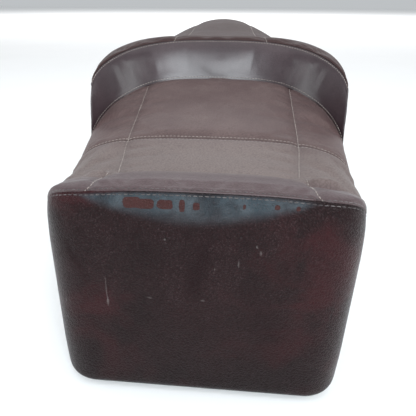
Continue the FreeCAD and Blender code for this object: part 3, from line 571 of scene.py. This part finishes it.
# long shallow creases and dents of the tall nose panel: places (across, height), height, width
faceMarks = [
    ([(-97, 146), (-93, 132), (-84, 113)], -0.8, 2.4),
    ([(7, 160), (3, 135), (-4, 112), (-10, 96)], -0.9, 7.0),
    ([(18, 158), (14, 136), (8, 112)], 0.5, 8.0),
    ([(-68, 124), (-70, 106), (-70, 90)], -0.35, 1.2),
    ([(60, 150), (74, 120), (80, 86)], 0.6, 12.0),
    ([(-40, 120), (-20, 80), (10, 50)], 0.7, 16.0),
    ([(30, 110), (58, 70), (66, 36)], -0.6, 14.0),
]


# where the polish and the painted highlight of the brow have gone: across, distance below the seam, half
# width, half height
barePatches = [(-48, 9, 7, 4.2), (-38, 10, 6, 3.8), (-25, 10, 6, 3.6), (-13, 10.5, 2.2, 4.6),
               (-3, 10.5, 2.4, 3), (30, 9, 1.5, 2), (52, 8, 2, 2), (66, 7.5, 2, 2.2), (76, 8, 1.8, 4)]


def wallPanel(name, first, last, pitch=1.9, marks=False):
    grid = wallGrid(first, last, pitch)
    points, normals = grid["points"], gridNormals(grid["points"])
    fall = np.maximum(seamFall(grid["fromSeam"]), seamFall(grid["fromEnds"], sink=0.5))
    x, s, z = points[..., 0] / mm, points[..., 1] / mm + form["length"] / 2, points[..., 2] / mm
    lift = np.zeros_like(fall)
    if marks:
        lift = ridgeLift(x, z, faceMarks, 200, 0.03, 0.6) * np.clip(-normals[..., 1], 0, 1)
    bulge = (softStep(0, 40, grid["fromSeam"]) * softStep(0, 45, z - floorHeight(s))
             * softStep(0, 30, grid["fromEnds"]) * (1.1 if marks else 0.77))
    moved = points + normals * ((lift + bulge - fall) * mm)[..., None]
    wallPanels[name] = dict(grid, moved=moved, normals=gridNormals(moved))
    rows, cols = points.shape[:2]
    piece = newPiece(name, moved.reshape(-1, 3), gridFaces(rows, cols))
    paintAttribute(piece, "nearSeam", np.exp(-np.minimum(grid["fromSeam"], grid["fromEnds"]) / 5))
    paintAttribute(piece, "nearLine", np.zeros_like(fall))
    front = np.clip(-normals[..., 1], 0, 1) ** 3 * (1 - softStep(66, 92, np.abs(x + 6)))
    depth = np.clip(24 * (1 - ((x + 4) / 92) ** 2), 2, 24)
    below = grid["fromSeam"]
    paintAttribute(piece, "brow", softStep(0.5, 4, below) * (1 - softStep(0.5 * depth, 1.15 * depth, below))
                   * front * float(marks))
    # depth of the grooves in the face, used to paint shade into them
    paintAttribute(piece, "pressed", np.clip(-lift / 0.8, 0, 1))
    bare = np.zeros_like(x)
    for place, down, wide, high in barePatches:
        away = ((x - place) / wide) ** 4 + ((below - down) / high) ** 4
        bare = np.maximum(bare, np.exp(-away) * front * float(marks))
    paintAttribute(piece, "bare", bare)
    return piece


thread = {"pitch": 4.0, "long": 3.2, "thick": 0.75, "sunk": 0.12, "lean": 0.05}


def stitchShape():
    # one stitch: a stretched bead with its ends drawn down
    clearSelection()
    bpy.ops.mesh.primitive_uv_sphere_add(segments=6, ring_count=6, radius=0.5)
    bead = bpy.context.object
    bpy.ops.object.mode_set(mode="EDIT")
    bpy.ops.mesh.select_all(action="SELECT")
    bpy.ops.transform.rotate(value=math.pi / 2, orient_axis="Y", center_override=(0, 0, 0))
    bpy.ops.transform.resize(value=(thread["long"] * mm, thread["thick"] * mm, thread["thick"] * mm),
                             center_override=(0, 0, 0))
    bpy.ops.object.mode_set(mode="OBJECT")
    count = len(bead.data.vertices)
    verts = np.empty(count * 3)
    bead.data.vertices.foreach_get("co", verts)
    faces = [tuple(face.vertices) for face in bead.data.polygons]
    bpy.data.objects.remove(bead)
    verts = verts.reshape(-1, 3)
    verts[:, 2] -= 0.35 * thread["thick"] * mm * (verts[:, 0] / (0.5 * thread["long"] * mm)) ** 2
    return verts, faces


def sew(name, rows, material):
    # stitches in rows: each row is a line of points with the leather's normals
    shape, faces = stitch
    allVerts, allFaces, count = [], [], 0
    for line, normals in rows:
        travel = travelled(line)
        number = int(travel[-1] / (thread["pitch"] * mm))
        gap = travel[-1] / max(number, 1)
        for k in range(number):
            at = (k + 0.5) * gap
            place, normal = between(at, travel, line), between(at, travel, normals)
            tangent = between(at + 0.4 * gap, travel, line) - between(at - 0.4 * gap, travel, line)
            tangent /= np.linalg.norm(tangent)
            normal -= tangent * normal.dot(tangent)
            normal /= np.linalg.norm(normal)
            side = np.cross(normal, tangent)
            tangent = tangent + side * thread["lean"] * math.sin(k * 2.4)
            turned = shape @ np.array([tangent, side, normal])
            allVerts.append(turned + place + normal * (0.5 - thread["sunk"]) * thread["thick"] * mm * 0.6)
            allFaces += [tuple(v + count for v in face) for face in faces]
            count += len(shape)
    piece = newPiece(name, np.vstack(allVerts), allFaces)
    makeActive(piece)
    bpy.ops.object.shade_smooth()
    piece.data.materials.append(material)
    return piece


def rowAt(panel, distance, fromBack=False):
    # a stitch row across a top panel, a distance from its front or back seam
    at = panel["fromFront"][:, 0]
    want = panel["long"] - distance if fromBack else distance
    i = int(np.clip(np.searchsorted(at, want) - 1, 0, len(at) - 2))
    t = (want - at[i]) / (at[i + 1] - at[i])
    inside = (panel["reach"][i] - np.abs(panel["across"][i])) > distance * 0.9
    return tuple((panel[key][i] * (1 - t) + panel[key][i + 1] * t)[inside] for key in ("moved", "normals"))


def sideRow(panel, distance, side, trim=2.0):
    # a stitch row along a top panel's side seam
    lines, normals = [], []
    for i in range(len(panel["stations"])):
        fromRows = min(panel["fromFront"][i, 0], panel["long"] - panel["fromFront"][i, 0])
        if fromRows < trim:
            continue
        across = panel["across"][i]
        want = (panel["reach"][i, 0] - distance) * side
        lines.append(between(want, across, panel["moved"][i]))
        normals.append(between(want, across, panel["normals"][i]))
    return np.array(lines), np.array(normals)


def lengthRow(panel, side, line="stitchLine"):
    # a stitch row along one of the lengthways lines
    lines, normals = [], []
    middle = panel["moved"].shape[1] // 2
    outward = slice(middle, None) if side > 0 else slice(middle, None, -1)
    for i in range(len(panel["stations"])):
        places = panel["moved"][i][outward]
        miss = side * places[:, 0] / mm - smoothCurve(form[line], panel["s"][i][outward])
        if miss.max() >= 0:
            lines.append(between(0, miss, places))
            normals.append(between(0, miss, panel["normals"][i][outward]))
    return np.array(lines), np.array(normals)


def wallRow(panel, distance, trim=2.0):
    # a stitch row round a wall panel, below its top seam
    down = panel["fromSeam"]
    columns = [j for j in range(down.shape[1]) if panel["fromEnds"][0, j] >= trim]
    return tuple(np.array([between(distance, down[::-1, j], panel[key][::-1, j]) for j in columns])
                 for key in ("moved", "normals"))


def endRow(panel, distance, first):
    # a stitch row up a wall panel, beside one of its end seams
    places = panel["places"]
    want = places[0] + distance if first else places[-1] - distance
    j = int(np.clip(np.searchsorted(places, want) - 1, 0, len(places) - 2))
    t = (want - places[j]) / (places[j + 1] - places[j])
    below = panel["fromSeam"][:, j] > 3
    return tuple((panel[key][:, j] * (1 - t) + panel[key][:, j + 1] * t)[below]
                 for key in ("moved", "normals"))


class Wire:
    # the output of a shader node; sums and products of it add their Math nodes
    def __init__(self, tree, socket):
        self.tree, self.socket = tree, socket

    def work(self, operation, first, second):
        node = self.tree.nodes.new("ShaderNodeMath")
        node.operation = operation
        for k, value in enumerate((first, second)):
            if isinstance(value, Wire):
                self.tree.links.new(value.socket, node.inputs[k])
            else:
                node.inputs[k].default_value = value
        return Wire(self.tree, node.outputs[0])

    def __add__(self, other): return self.work("ADD", self, other)
    def __radd__(self, other): return self.work("ADD", other, self)
    def __sub__(self, other): return self.work("SUBTRACT", self, other)
    def __rsub__(self, other): return self.work("SUBTRACT", other, self)
    def __mul__(self, other): return self.work("MULTIPLY", self, other)
    def __rmul__(self, other): return self.work("MULTIPLY", other, self)


class Finish:
    # one material: its nodes are added by node(), and its surface is a Principled shader
    def __init__(self, name, **fixed):
        self.material = bpy.data.materials.new(name)
        self.material.use_nodes = True
        self.tree = self.material.node_tree
        self.tree.nodes.clear()
        self.out = self.tree.nodes.new("ShaderNodeOutputMaterial")
        self.skin = self.tree.nodes.new("ShaderNodeBsdfPrincipled")
        self.tree.links.new(self.skin.outputs[0], self.out.inputs["Surface"])
        for key, value in fixed.items():
            self.skin.inputs[key.replace("_", " ")].default_value = value
        self.place = self.node("ShaderNodeTexCoord", output="Object")

    def node(self, kind, settings=None, inputs=None, output=0):
        node = self.tree.nodes.new(kind)
        for key, value in (settings or {}).items():
            if key == "stops":
                ramp = node.color_ramp
                while len(ramp.elements) < len(value):
                    ramp.elements.new(0.5)
                for element, (at, colour) in zip(ramp.elements, value):
                    element.position = at
                    element.color = colour if len(colour) == 4 else (*colour, 1)
            else:
                setattr(node, key, value)
        for key, value in (inputs or {}).items():
            socket = node.inputs[key]
            if isinstance(value, Wire):
                self.tree.links.new(value.socket, socket)
            else:
                socket.default_value = value
        return Wire(self.tree, node.outputs[output])

    def noise(self, scale, detail=4, rough=0.55, distort=0.0, place=None):
        return self.node("ShaderNodeTexNoise", inputs={
            "Vector": place or self.place, "Scale": scale, "Detail": detail, "Roughness": rough,
            "Distortion": distort})

    def cells(self, scale, feature="F1", place=None):
        return self.node("ShaderNodeTexVoronoi", {"feature": feature}, {
            "Vector": place or self.place, "Scale": scale}, "Distance")

    def axis(self, number):
        # one coordinate of the place on the object
        return self.node("ShaderNodeSeparateXYZ", inputs={0: self.place}, output=number)

    def step(self, value, low, high):
        return self.node("ShaderNodeMapRange", {"interpolation_type": "SMOOTHSTEP"}, {
            "Value": value, "From Min": low, "From Max": high})

    def blend(self, share, first, second, how="MIX"):
        colours = [c if isinstance(c, Wire) else (*c, 1) for c in (first, second)]
        return self.node("ShaderNodeMix", {"data_type": "RGBA", "blend_type": how}, {
            0: share, 6: colours[0], 7: colours[1]}, 2)

    def mark(self, name):
        return self.node("ShaderNodeAttribute", {"attribute_name": name}, output="Fac")

    def stretched(self, x, y, z):
        return self.node("ShaderNodeMapping", inputs={"Vector": self.place, "Scale": (x, y, z)})

    def relief(self, height, strength, distance, under=None):
        inputs = {"Height": height, "Strength": strength, "Distance": distance}
        if under:
            inputs["Normal"] = under
        return self.node("ShaderNodeBump", inputs=inputs)

    def feed(self, **wires):
        for key, wire in wires.items():
            self.tree.links.new(wire.socket, self.skin.inputs[key.replace("_", " ")])
        return self.material


def leather(name, look):
    # grained leather: pebbles of uneven size, creases between them, scuffs, and painted shade beside the sunk
    # seams
    skin = Finish(name, Specular_IOR_Level=look["specular"], Coat_Roughness=look["coatRough"],
                  Sheen_Weight=look["sheen"], Sheen_Roughness=0.5)
    wander = skin.noise(55, 3)
    drift = skin.node("ShaderNodeTexNoise", inputs={"Vector": skin.place, "Scale": 420.0, "Detail": 2.0},
                      output="Color")
    bent = skin.node("ShaderNodeVectorMath", {"operation": "MULTIPLY_ADD"}, {
        0: drift, 1: (0.0016, 0.0016, 0.0016), 2: skin.place})
    pebble = 1 - skin.step(skin.cells(look["grain"], "SMOOTH_F1", bent), 0.05, 0.75)
    crease = skin.step(skin.cells(look["grain"] * 0.55, "DISTANCE_TO_EDGE", bent), 0.0, 0.16)
    fine = skin.noise(2600, 2)
    broad = skin.noise(9, 4, 0.6)
    blotch = skin.noise(34, 5, 0.65, 0.4)
    scuff = skin.step(skin.noise(70, 6, 0.72, 0.8), 0.56, 0.74) * skin.step(skin.noise(12, 3), 0.42, 0.62)
    rub = skin.step(skin.noise(1, 5, 0.6, 0.2, skin.stretched(260, 40, 90)), 0.62, 0.75)
    seam, line, brow = skin.mark("nearSeam"), skin.mark("nearLine"), skin.mark("brow")
    back = skin.step(skin.axis(1), -0.205, -0.150)
    colour = skin.blend(skin.step(broad * 0.6 + blotch * 0.4, 0.36, 0.64), look["deep"], look["pale"])
    colour = skin.blend((1 - back) * look["faded"], colour, look["worn"])
    ridge = (1 - skin.step(skin.axis(1), -0.322, -0.300)) * look["ridge"]
    colour = skin.blend(ridge, colour, (0.058, 0.030, 0.037))
    colour = skin.blend((1 - crease) * 0.45 + (1 - pebble) * look["pits"], colour, look["pit"])
    colour = skin.blend(scuff * look["scuff"], colour, look["worn"])
    colour = skin.blend(rub * look["rub"], colour, look["worn"])
    # painted shade: darker beside the sunk seams and along the sunk stitch lines
    colour = skin.blend(seam * look["seamShade"], colour, look["pit"])
    colour = skin.blend(line * 0.18, colour, look["pit"])
    rough = look["rough"] + 0.16 * (blotch - 0.5) + 0.12 * scuff - 0.05 * pebble + 0.06 * wander
    height = pebble * 0.8 + crease * 0.5 + fine * 0.12
    broadRelief = skin.relief(skin.noise(26, 3, 0.5), look["lumps"], 0.004)
    bump = skin.relief(height, look["relief"], 0.0006, broadRelief)
    feeds = {"Base_Color": colour, "Roughness": rough, "Normal": bump}
    if look["browShine"]:
        # the brow of the nose has a gloss rubbed up by knees and a bluish painted highlight blended into its
        # colour, with patches where the finish and the painted highlight have gone
        patch = skin.step(skin.mark("bare") + 0.55 * (skin.noise(190, 3, 0.6) - 0.5), 0.42, 0.52)
        polishAndPaintedHighlight = brow * (1 - patch) * (0.45 + 0.55 * skin.step(blotch, 0.34, 0.56))
        # painted highlight: the bluish colour of the lamp's reflection on the brow
        tint = skin.blend(skin.step(skin.noise(40, 3), 0.4, 0.62), (0.026, 0.044, 0.056),
                          (0.060, 0.080, 0.094))
        colour = skin.blend(polishAndPaintedHighlight * 0.85, colour, tint)
        colour = skin.blend(patch * 0.75, colour, (0.060, 0.022, 0.020))
        # painted highlight: the crowns of the pebbles are lightened as speckled glints
        paintedGlints = skin.step(pebble, 0.70, 0.96) * (0.35 + 0.65 * skin.step(blotch, 0.40, 0.62))
        colour = skin.blend(paintedGlints * 0.42, colour, (0.075, 0.054, 0.058))
        # painted shade: the colour is darkened in the grooves of the creases and dents
        colour = skin.blend(skin.mark("pressed") * 0.7, colour, (0.010, 0.002, 0.003))
        # redder and blacker clouds, a pale upright scratch and nicks in the finish
        colour = skin.blend(skin.step(skin.noise(15, 4, 0.6, 0.5), 0.48, 0.66) * (1 - brow) * 0.6, colour,
                            (0.040, 0.0080, 0.0100))
        # darker towards the bottom of the walls
        low = 1 - skin.step(skin.axis(2), 0.0, 0.11)
        colour = skin.blend(low * 0.5, colour, look["pit"])
        flat = skin.node("ShaderNodeVectorMath", {"operation": "MULTIPLY"}, {0: bent, 1: (1, 0, 1)})
        pale = 0
        for x, z, wide, high in nicks:
            away = skin.node("ShaderNodeVectorMath", {"operation": "MULTIPLY_ADD"}, {
                0: flat, 1: (1 / (wide * mm), 0, 1 / (high * mm)), 2: (-x / wide, 0, -z / high)})
            length = skin.node("ShaderNodeVectorMath", {"operation": "LENGTH"}, {0: away}, "Value")
            pale = pale + (1 - skin.step(length, 0.45, 1.15))
        pale = pale * skin.step(fine, 0.25, 0.55)
        feeds["Base_Color"] = skin.blend(pale * 0.42, colour, (0.20, 0.18, 0.175))
        across = skin.axis(0)
        rim = skin.step(across * across, 0.0098, 0.0140)
        feeds["Coat_Weight"] = polishAndPaintedHighlight * look["browShine"] + rim * 0.22
    else:
        feeds["Coat_Weight"] = look["coat"] * (1 - 0.5 * scuff) + ridge * 0.28
    return skin.feed(**feeds)


# nicks in the finish of the nose: across, height, half width, half height
nicks = [(44, 143, 1.1, 2.2), (41, 148, 0.9, 1.3), (29, 133, 0.7, 3.4), (-69.5, 104, 0.4, 15),
         (-69, 93, 1.0, 5), (-36, 99, 2.0, 0.7), (4, 99, 1.8, 0.8), (-104, 88, 1.0, 1.6),
         (-24, 150, 0.8, 0.9), (12, 128, 0.7, 1.0)]


plainLeather = {"grain": 640.0, "rub": 0.10, "seamShade": 0.5, "sheen": 0.0, "coat": 0.0, "coatRough": 0.30,
                "browShine": 0.0, "faded": 0.0, "ridge": 0.0}
leathers = {
    "face": dict(plainLeather, deep=(0.0125, 0.0040, 0.0046), pale=(0.024, 0.0090, 0.0100),
                 pit=(0.005, 0.0016, 0.002), worn=(0.085, 0.058, 0.058), grain=780.0, pits=0.35, scuff=0.16,
                 seamShade=0.45, rough=0.36, specular=0.13, relief=1.0, lumps=0.10, browShine=0.5),
    "panel": dict(plainLeather, deep=(0.082, 0.047, 0.046), pale=(0.122, 0.080, 0.076),
                  pit=(0.034, 0.018, 0.018), worn=(0.200, 0.170, 0.155), pits=0.12, scuff=0.45, rub=0.12,
                  rough=0.50, specular=0.32, sheen=0.05, relief=0.26, lumps=0.16, faded=0.42, ridge=0.85),
    "pillion": dict(plainLeather, deep=(0.040, 0.020, 0.020), pale=(0.060, 0.034, 0.033),
                    pit=(0.028, 0.015, 0.015), worn=(0.16, 0.13, 0.12), pits=0.12, scuff=0.25,
                    rough=0.52, specular=0.12, sheen=0.03, relief=0.24, lumps=0.12, coat=0.06),
    "band": dict(plainLeather, deep=(0.030, 0.015, 0.020), pale=(0.050, 0.029, 0.035),
                 pit=(0.012, 0.006, 0.008), worn=(0.13, 0.105, 0.105), pits=0.15, scuff=0.20, rub=0.08,
                 rough=0.42, specular=0.30, relief=0.12, lumps=0.22, coat=0.60),
}


def threadFinish(name, clean, soiled, spread, share, rough, sheen):
    # twisted thread, soiled with handling
    skin = Finish(name, Sheen_Weight=sheen)
    twist = skin.node("ShaderNodeTexWave", {"wave_type": "BANDS", "bands_direction": "DIAGONAL"}, {
        "Vector": skin.place, "Scale": 700.0, "Distortion": 1.5})
    soil = skin.step(skin.noise(spread, 3), 0.35, 0.7)
    return skin.feed(Base_Color=skin.blend(soil * share, clean, soiled), Roughness=rough + 0.15 * soil,
                     Normal=skin.relief(twist, 0.5, 0.0002))


def foamFinish():
    skin = Finish("foam", Specular_IOR_Level=0.2)
    pores = skin.cells(900)
    tone = skin.noise(20, 3)
    colour = skin.blend(tone, (0.62, 0.50, 0.30), (0.74, 0.64, 0.42))
    colour = skin.blend((1 - skin.step(pores, 0.1, 0.5)) * 0.4, colour, (0.36, 0.27, 0.14))
    return skin.feed(Base_Color=colour, Roughness=0.9 + 0.05 * tone, Normal=skin.relief(pores, 0.6, 0.0008))


def metalFinish(name, light, dark, rough, grain, metallic=1.0):
    # plated or painted steel: drawn grain and faint blotches
    skin = Finish(name, Metallic=metallic)
    drawn = skin.noise(1, 4, 0.6, 0, skin.stretched(grain, grain * 0.12, grain))
    blotch = skin.noise(46, 5, 0.6, 0.3)
    colour = skin.blend(skin.step(blotch, 0.35, 0.7), light, dark)
    return skin.feed(Base_Color=colour, Roughness=rough + 0.14 * (drawn - 0.5) + 0.12 * (blotch - 0.5),
                     Normal=skin.relief(drawn * 0.6 + skin.noise(900, 2) * 0.4, 0.18, 0.0003))


def plasticFinish(name, deep, pale, rough, texture):
    # moulded plastic or rubber with a spark-eroded texture and rubbed patches
    skin = Finish(name)
    speck = skin.noise(texture, 3, 0.6)
    blotch = skin.noise(15, 5, 0.6, 0.3)
    rub = skin.step(skin.noise(1, 5, 0.65, 0.2, skin.stretched(300, 60, 120)), 0.60, 0.74)
    colour = skin.blend(skin.step(blotch, 0.35, 0.7), deep, pale)
    colour = skin.blend(rub * 0.25, colour, (0.16, 0.16, 0.16))
    return skin.feed(Base_Color=colour, Roughness=rough + 0.14 * (blotch - 0.5) + 0.10 * rub,
                     Normal=skin.relief(speck, 0.35, 0.0004))


faceLeather = leather("face_leather", leathers["face"])
panelLeather = leather("panel_leather", leathers["panel"])
bandLeather = leather("band_leather", leathers["band"])
pillionLeather = leather("pillion_leather", leathers["pillion"])
threadMaterial = threadFinish("thread", (0.34, 0.29, 0.26), (0.15, 0.115, 0.105), 60, 0.55, 0.65, 0.3)
darkThread = threadFinish("dark_thread", (0.105, 0.090, 0.090), (0.030, 0.022, 0.024), 90, 1.0, 0.6, 0.2)
foamMaterial = foamFinish()
say("finishes made")

puff = puffField()
stitch = stitchShape()


def keepPiece(piece, replaced=(), body="seat"):
    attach(piece, body)
    if replaced:
        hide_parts(*replaced)
    return piece


def makeTopPanels():
    foot, crest, cross = form["stepFoot"], form["stepFoot"] + form["bandRun"], form["crossSeam"]
    overlap = 1.2
    panels = [
        ("rider_front_panel", "cover_rider_front", "panel_leather", panelLeather,
         dict(first=form["frontSeam"], last=cross, pitch=1.7, line="stitchLine", tuck=(1.0, 1.0))),
        ("rider_rear_panel", "cover_rider_rear", "panel_leather", panelLeather,
         dict(first=cross, last=foot + overlap, pitch=1.7, line="stitchLine", tuck=(0.8, 0.15))),
        ("riser_band", "cover_riser", "gloss_leather", bandLeather,
         dict(first=foot, last=crest, pitch=1.6, tuck=(0.12, 0.8), puffed=0.22)),
        ("pillion_panel", "cover_pillion", "panel_leather", pillionLeather,
         dict(first=crest, last=form["tailTip"], pitch=2.1, line="tailLine", tuck=(0.8, 0.8), backSeam=False)),
    ]
    for name, node, slotName, material, cut in panels:
        piece = topPanel(name, **cut)
        finishShell(piece, material)
        keepPiece(piece, [node])
        say("%s has %d faces" % (name, len(piece.data.polygons)))


def makeWallPanels():
    noseEnd, tailEnd = outlineTo(form["noseSeam"]), outlineTo(form["tailSeam"])
    panels = [
        ("nose_panel", -noseEnd, noseEnd, 1.8, True, "cover_nose"),
        ("skirt_panel_left", -tailEnd, -noseEnd, 2.3, False, "cover_skirt_left"),
        ("skirt_panel_right", noseEnd, tailEnd, 2.3, False, "cover_skirt_right"),
        ("tail_panel", tailEnd, 2 * outlineHalf - tailEnd, 2.3, False, "cover_tail"),
    ]
    for name, first, last, pitch, marks, node in panels:
        piece = wallPanel(name, first, last, pitch, marks)
        finishShell(piece, faceLeather)
        keepPiece(piece, [node])
        say("%s has %d faces" % (name, len(piece.data.polygons)))


def makeThreads():
    front, rear = topPanels["rider_front_panel"], topPanels["rider_rear_panel"]
    band, pillion = topPanels["riser_band"], topPanels["pillion_panel"]
    nose = wallPanels["nose_panel"]
    walls = [wallPanels[n] for n in ("skirt_panel_left", "skirt_panel_right", "tail_panel")]
    at = sewing["stitchAt"]
    rows = {
        "nose_seam_threads": ([rowAt(front, at), wallRow(nose, at)], darkThread),
        "rider_line_threads": ([lengthRow(p, side) for p in (front, rear) for side in (-1, 1)],
                               threadMaterial),
        "cross_seam_threads": ([rowAt(front, at, True), rowAt(rear, at)], threadMaterial),
        "band_foot_threads": ([rowAt(band, at)], threadMaterial),
        "band_top_threads": ([rowAt(band, at, True)], threadMaterial),
        "tail_line_threads": ([lengthRow(pillion, side, "tailLine") for side in (-1, 1)], threadMaterial),
        "side_seam_threads": ([sideRow(p, at, side) for p in (front, rear, band, pillion) for side in (-1, 1)]
                              + [wallRow(w, at) for w in walls], threadMaterial),
        "upright_seam_threads": ([endRow(w, at, first) for w in walls + [nose] for first in (True, False)],
                                 threadMaterial),
    }
    for name, (lines, material) in rows.items():
        keepPiece(sew(name, lines, material))
    say("threads sewn")


makeTopPanels()
makeWallPanels()
makeThreads()


foamPad = {"voxel": 6, "smooth": 3, "shrink": 4.5}


def makeFoams():
    # the moulded foams under the covers
    for name, node in (("rider_foam", "foam_rider"), ("pillion_foam", "foam_pillion")):
        pad = frame["nodes"][node].copy()
        pad.data = frame["nodes"][node].data.copy()
        pad.name = name
        pad.parent = None
        for key in list(pad.keys()):
            del pad[key]
        bpy.context.scene.collection.objects.link(pad)
        applyModifier(pad, "REMESH", mode="VOXEL", voxel_size=foamPad["voxel"] * mm, use_smooth_shade=True)
        applyModifier(pad, "SMOOTH", factor=0.5, iterations=foamPad["smooth"])
        applyModifier(pad, "DISPLACE", strength=-foamPad["shrink"] * mm, mid_level=0)
        pad.data.materials.clear()
        pad.data.materials.append(foamMaterial)
        keepPiece(pad, [node])
    say("foams made")


staple = {"pitch": 32, "crown": 10, "wire": 0.7, "wide": 1.3, "inset": 12, "proud": 0.35}


def makeStaples():
    # one staple is modelled and copied round the hem
    clearSelection()
    bpy.ops.mesh.primitive_cube_add(size=1)
    model = bpy.context.object
    bpy.ops.object.mode_set(mode="EDIT")
    bpy.ops.mesh.select_all(action="SELECT")
    bpy.ops.transform.resize(value=(staple["crown"] * mm, staple["wide"] * mm, staple["wire"] * mm),
                             center_override=(0, 0, 0))
    bpy.ops.mesh.bevel(offset=0.2 * mm, segments=2)
    bpy.ops.object.mode_set(mode="OBJECT")
    shape = np.empty(len(model.data.vertices) * 3)
    model.data.vertices.foreach_get("co", shape)
    shape = shape.reshape(-1, 3)
    faces = [tuple(face.vertices) for face in model.data.polygons]
    bpy.data.objects.remove(model)
    verts, allFaces, count = [], [], 0
    places = np.arange(0, outlineHalf - 20, staple["pitch"])
    for p in sorted(set(-places) | set(places)):
        x, s, nx, ns = outlineAt(float(p))
        x, s = x - nx * staple["inset"], s - ns * staple["inset"]
        slope = (float(floorHeight(s + 4)) - float(floorHeight(s - 4))) / 8
        tangent = np.array([-ns, nx, nx * slope])
        tangent /= np.linalg.norm(tangent)
        up = np.array([0, -slope, 1.0])
        up -= tangent * up.dot(tangent)
        up /= np.linalg.norm(up)
        turned = shape @ np.array([tangent, np.cross(up, tangent), up])
        place = inFrame(np.array(x), np.array(s), floorHeight(s) + staple["wire"] / 2 - staple["proud"])
        verts.append(turned + place)
        allFaces += [tuple(v + count for v in face) for face in faces]
        count += len(shape)
    piece = newPiece("hem_staple_row", np.vstack(verts), allFaces)
    piece.data.materials.append(steel)
    keepPiece(piece, ["hem_staples"])
    say("staples set")


steel = metalFinish("zinc_steel", (0.60, 0.60, 0.58), (0.42, 0.42, 0.41), 0.34, 900)
makeFoams()
makeStaples()


def finishHardware():
    # materials for the pieces that keep their CAD shape
    black = metalFinish("black_steel", (0.022, 0.022, 0.024), (0.035, 0.034, 0.034), 0.42, 500, 0.0)
    brass = metalFinish("brass", (0.72, 0.53, 0.24), (0.50, 0.36, 0.16), 0.32, 900)
    pan = plasticFinish("moulded_plastic", (0.018, 0.018, 0.019), (0.030, 0.030, 0.031), 0.55, 1400)
    bush = plasticFinish("bush_plastic", (0.62, 0.59, 0.50), (0.70, 0.68, 0.60), 0.45, 900)
    rubber = plasticFinish("buffer_rubber", (0.015, 0.015, 0.016), (0.028, 0.027, 0.027), 0.72, 700)
    wears = {"moulded_plastic": pan, "zinc_steel": steel, "black_steel": black, "bush_plastic": bush,
             "brass_insert": brass, "buffer_rubber": rubber}
    slots = {part["node"]: part["material_slot"] for part in frame["record"]["subparts"]}
    for node, piece in frame["nodes"].items():
        if slots[node] in wears and not piece.hide_render:
            piece.data.materials.clear()
            piece.data.materials.append(wears[slots[node]])
    say("hardware finished")


finishHardware()


view = {"place": (16.1, -629.7, 304.7), "yaw": 5.52, "pitch": 25.09, "roll": -0.26, "lens": 38.94,
        "shift": 0.056}


def setCamera():
    camera = bpy.data.cameras.new("camera")
    camera.sensor_width = 36
    camera.lens = view["lens"]
    camera.shift_x = view["shift"]
    camera.clip_start = 0.01
    piece = bpy.data.objects.new("camera", camera)
    bpy.context.scene.collection.objects.link(piece)
    yaw, pitch, roll = (math.radians(view[k]) for k in ("yaw", "pitch", "roll"))
    right = Vector((math.cos(yaw), math.sin(yaw), 0))
    ahead = Vector((-math.sin(yaw) * math.cos(pitch), math.cos(yaw) * math.cos(pitch), -math.sin(pitch)))
    up = right.cross(ahead)
    across = right * math.cos(roll) - up * math.sin(roll)
    upright = right * math.sin(roll) + up * math.cos(roll)
    turn = Matrix((across, upright, -ahead)).transposed().to_4x4()
    piece.matrix_world = Matrix.Translation(Vector(view["place"]) * mm) @ turn
    bpy.context.scene.camera = piece


# area lights: place and target in metres, size, watts
lamps = {
    "front_box": dict(place=(0.30, -1.75, 1.45), target=(0, 0, 0.22), size=(1.1, 0.7), power=38,
                      tint=(0.90, 0.96, 1.0)),
    "top_box": dict(place=(0, 0.2, 2.6), target=(0, 0.2, 0), size=(3, 3), power=26, tint=(1, 1, 1)),
    "left_box": dict(place=(-1.9, -0.5, 0.8), target=(0, 0, 0.15), size=(1, 1.2), power=13,
                     tint=(0.94, 1, 1)),
    "right_box": dict(place=(1.9, -0.5, 0.8), target=(0, 0, 0.15), size=(1, 1.2), power=16,
                      tint=(0.94, 1, 1)),
    "far_box": dict(place=(0, 6.5, 3), target=(0, 7, 0), size=(9, 5), power=330, tint=(1, 1, 1)),
}


def softbox(name, place, target, size, power, tint):
    light = bpy.data.lights.new(name, "AREA")
    light.shape = "RECTANGLE"
    light.size, light.size_y = size
    light.energy = power
    light.color = tint
    piece = bpy.data.objects.new(name, light)
    bpy.context.scene.collection.objects.link(piece)
    piece.location = place
    piece.rotation_euler = (Vector(target) - Vector(place)).to_track_quat("-Z", "Y").to_euler()


def setStage():
    clearSelection()
    bpy.ops.mesh.primitive_plane_add(size=30, location=(0, 0, -0.0012))
    floor = bpy.context.object
    floor.name = "floor"
    pale = Finish("floor_paper")
    floor.data.materials.append(pale.feed(
        Base_Color=pale.blend(pale.noise(3, 2), (0.86, 0.86, 0.86), (0.9, 0.9, 0.9)),
        Roughness=0.8 + 0.1 * pale.noise(5, 2)))
    world = bpy.data.worlds.new("studio")
    bpy.context.scene.world = world
    world.use_nodes = True
    world.node_tree.nodes["Background"].inputs[0].default_value = (0.93, 0.97, 1.0, 1)
    world.node_tree.nodes["Background"].inputs[1].default_value = 0.55
    for name, lamp in lamps.items():
        softbox(name, **lamp)
    bpy.context.scene.view_settings.view_transform = "Standard"


setCamera()
setStage()
say("stage set")
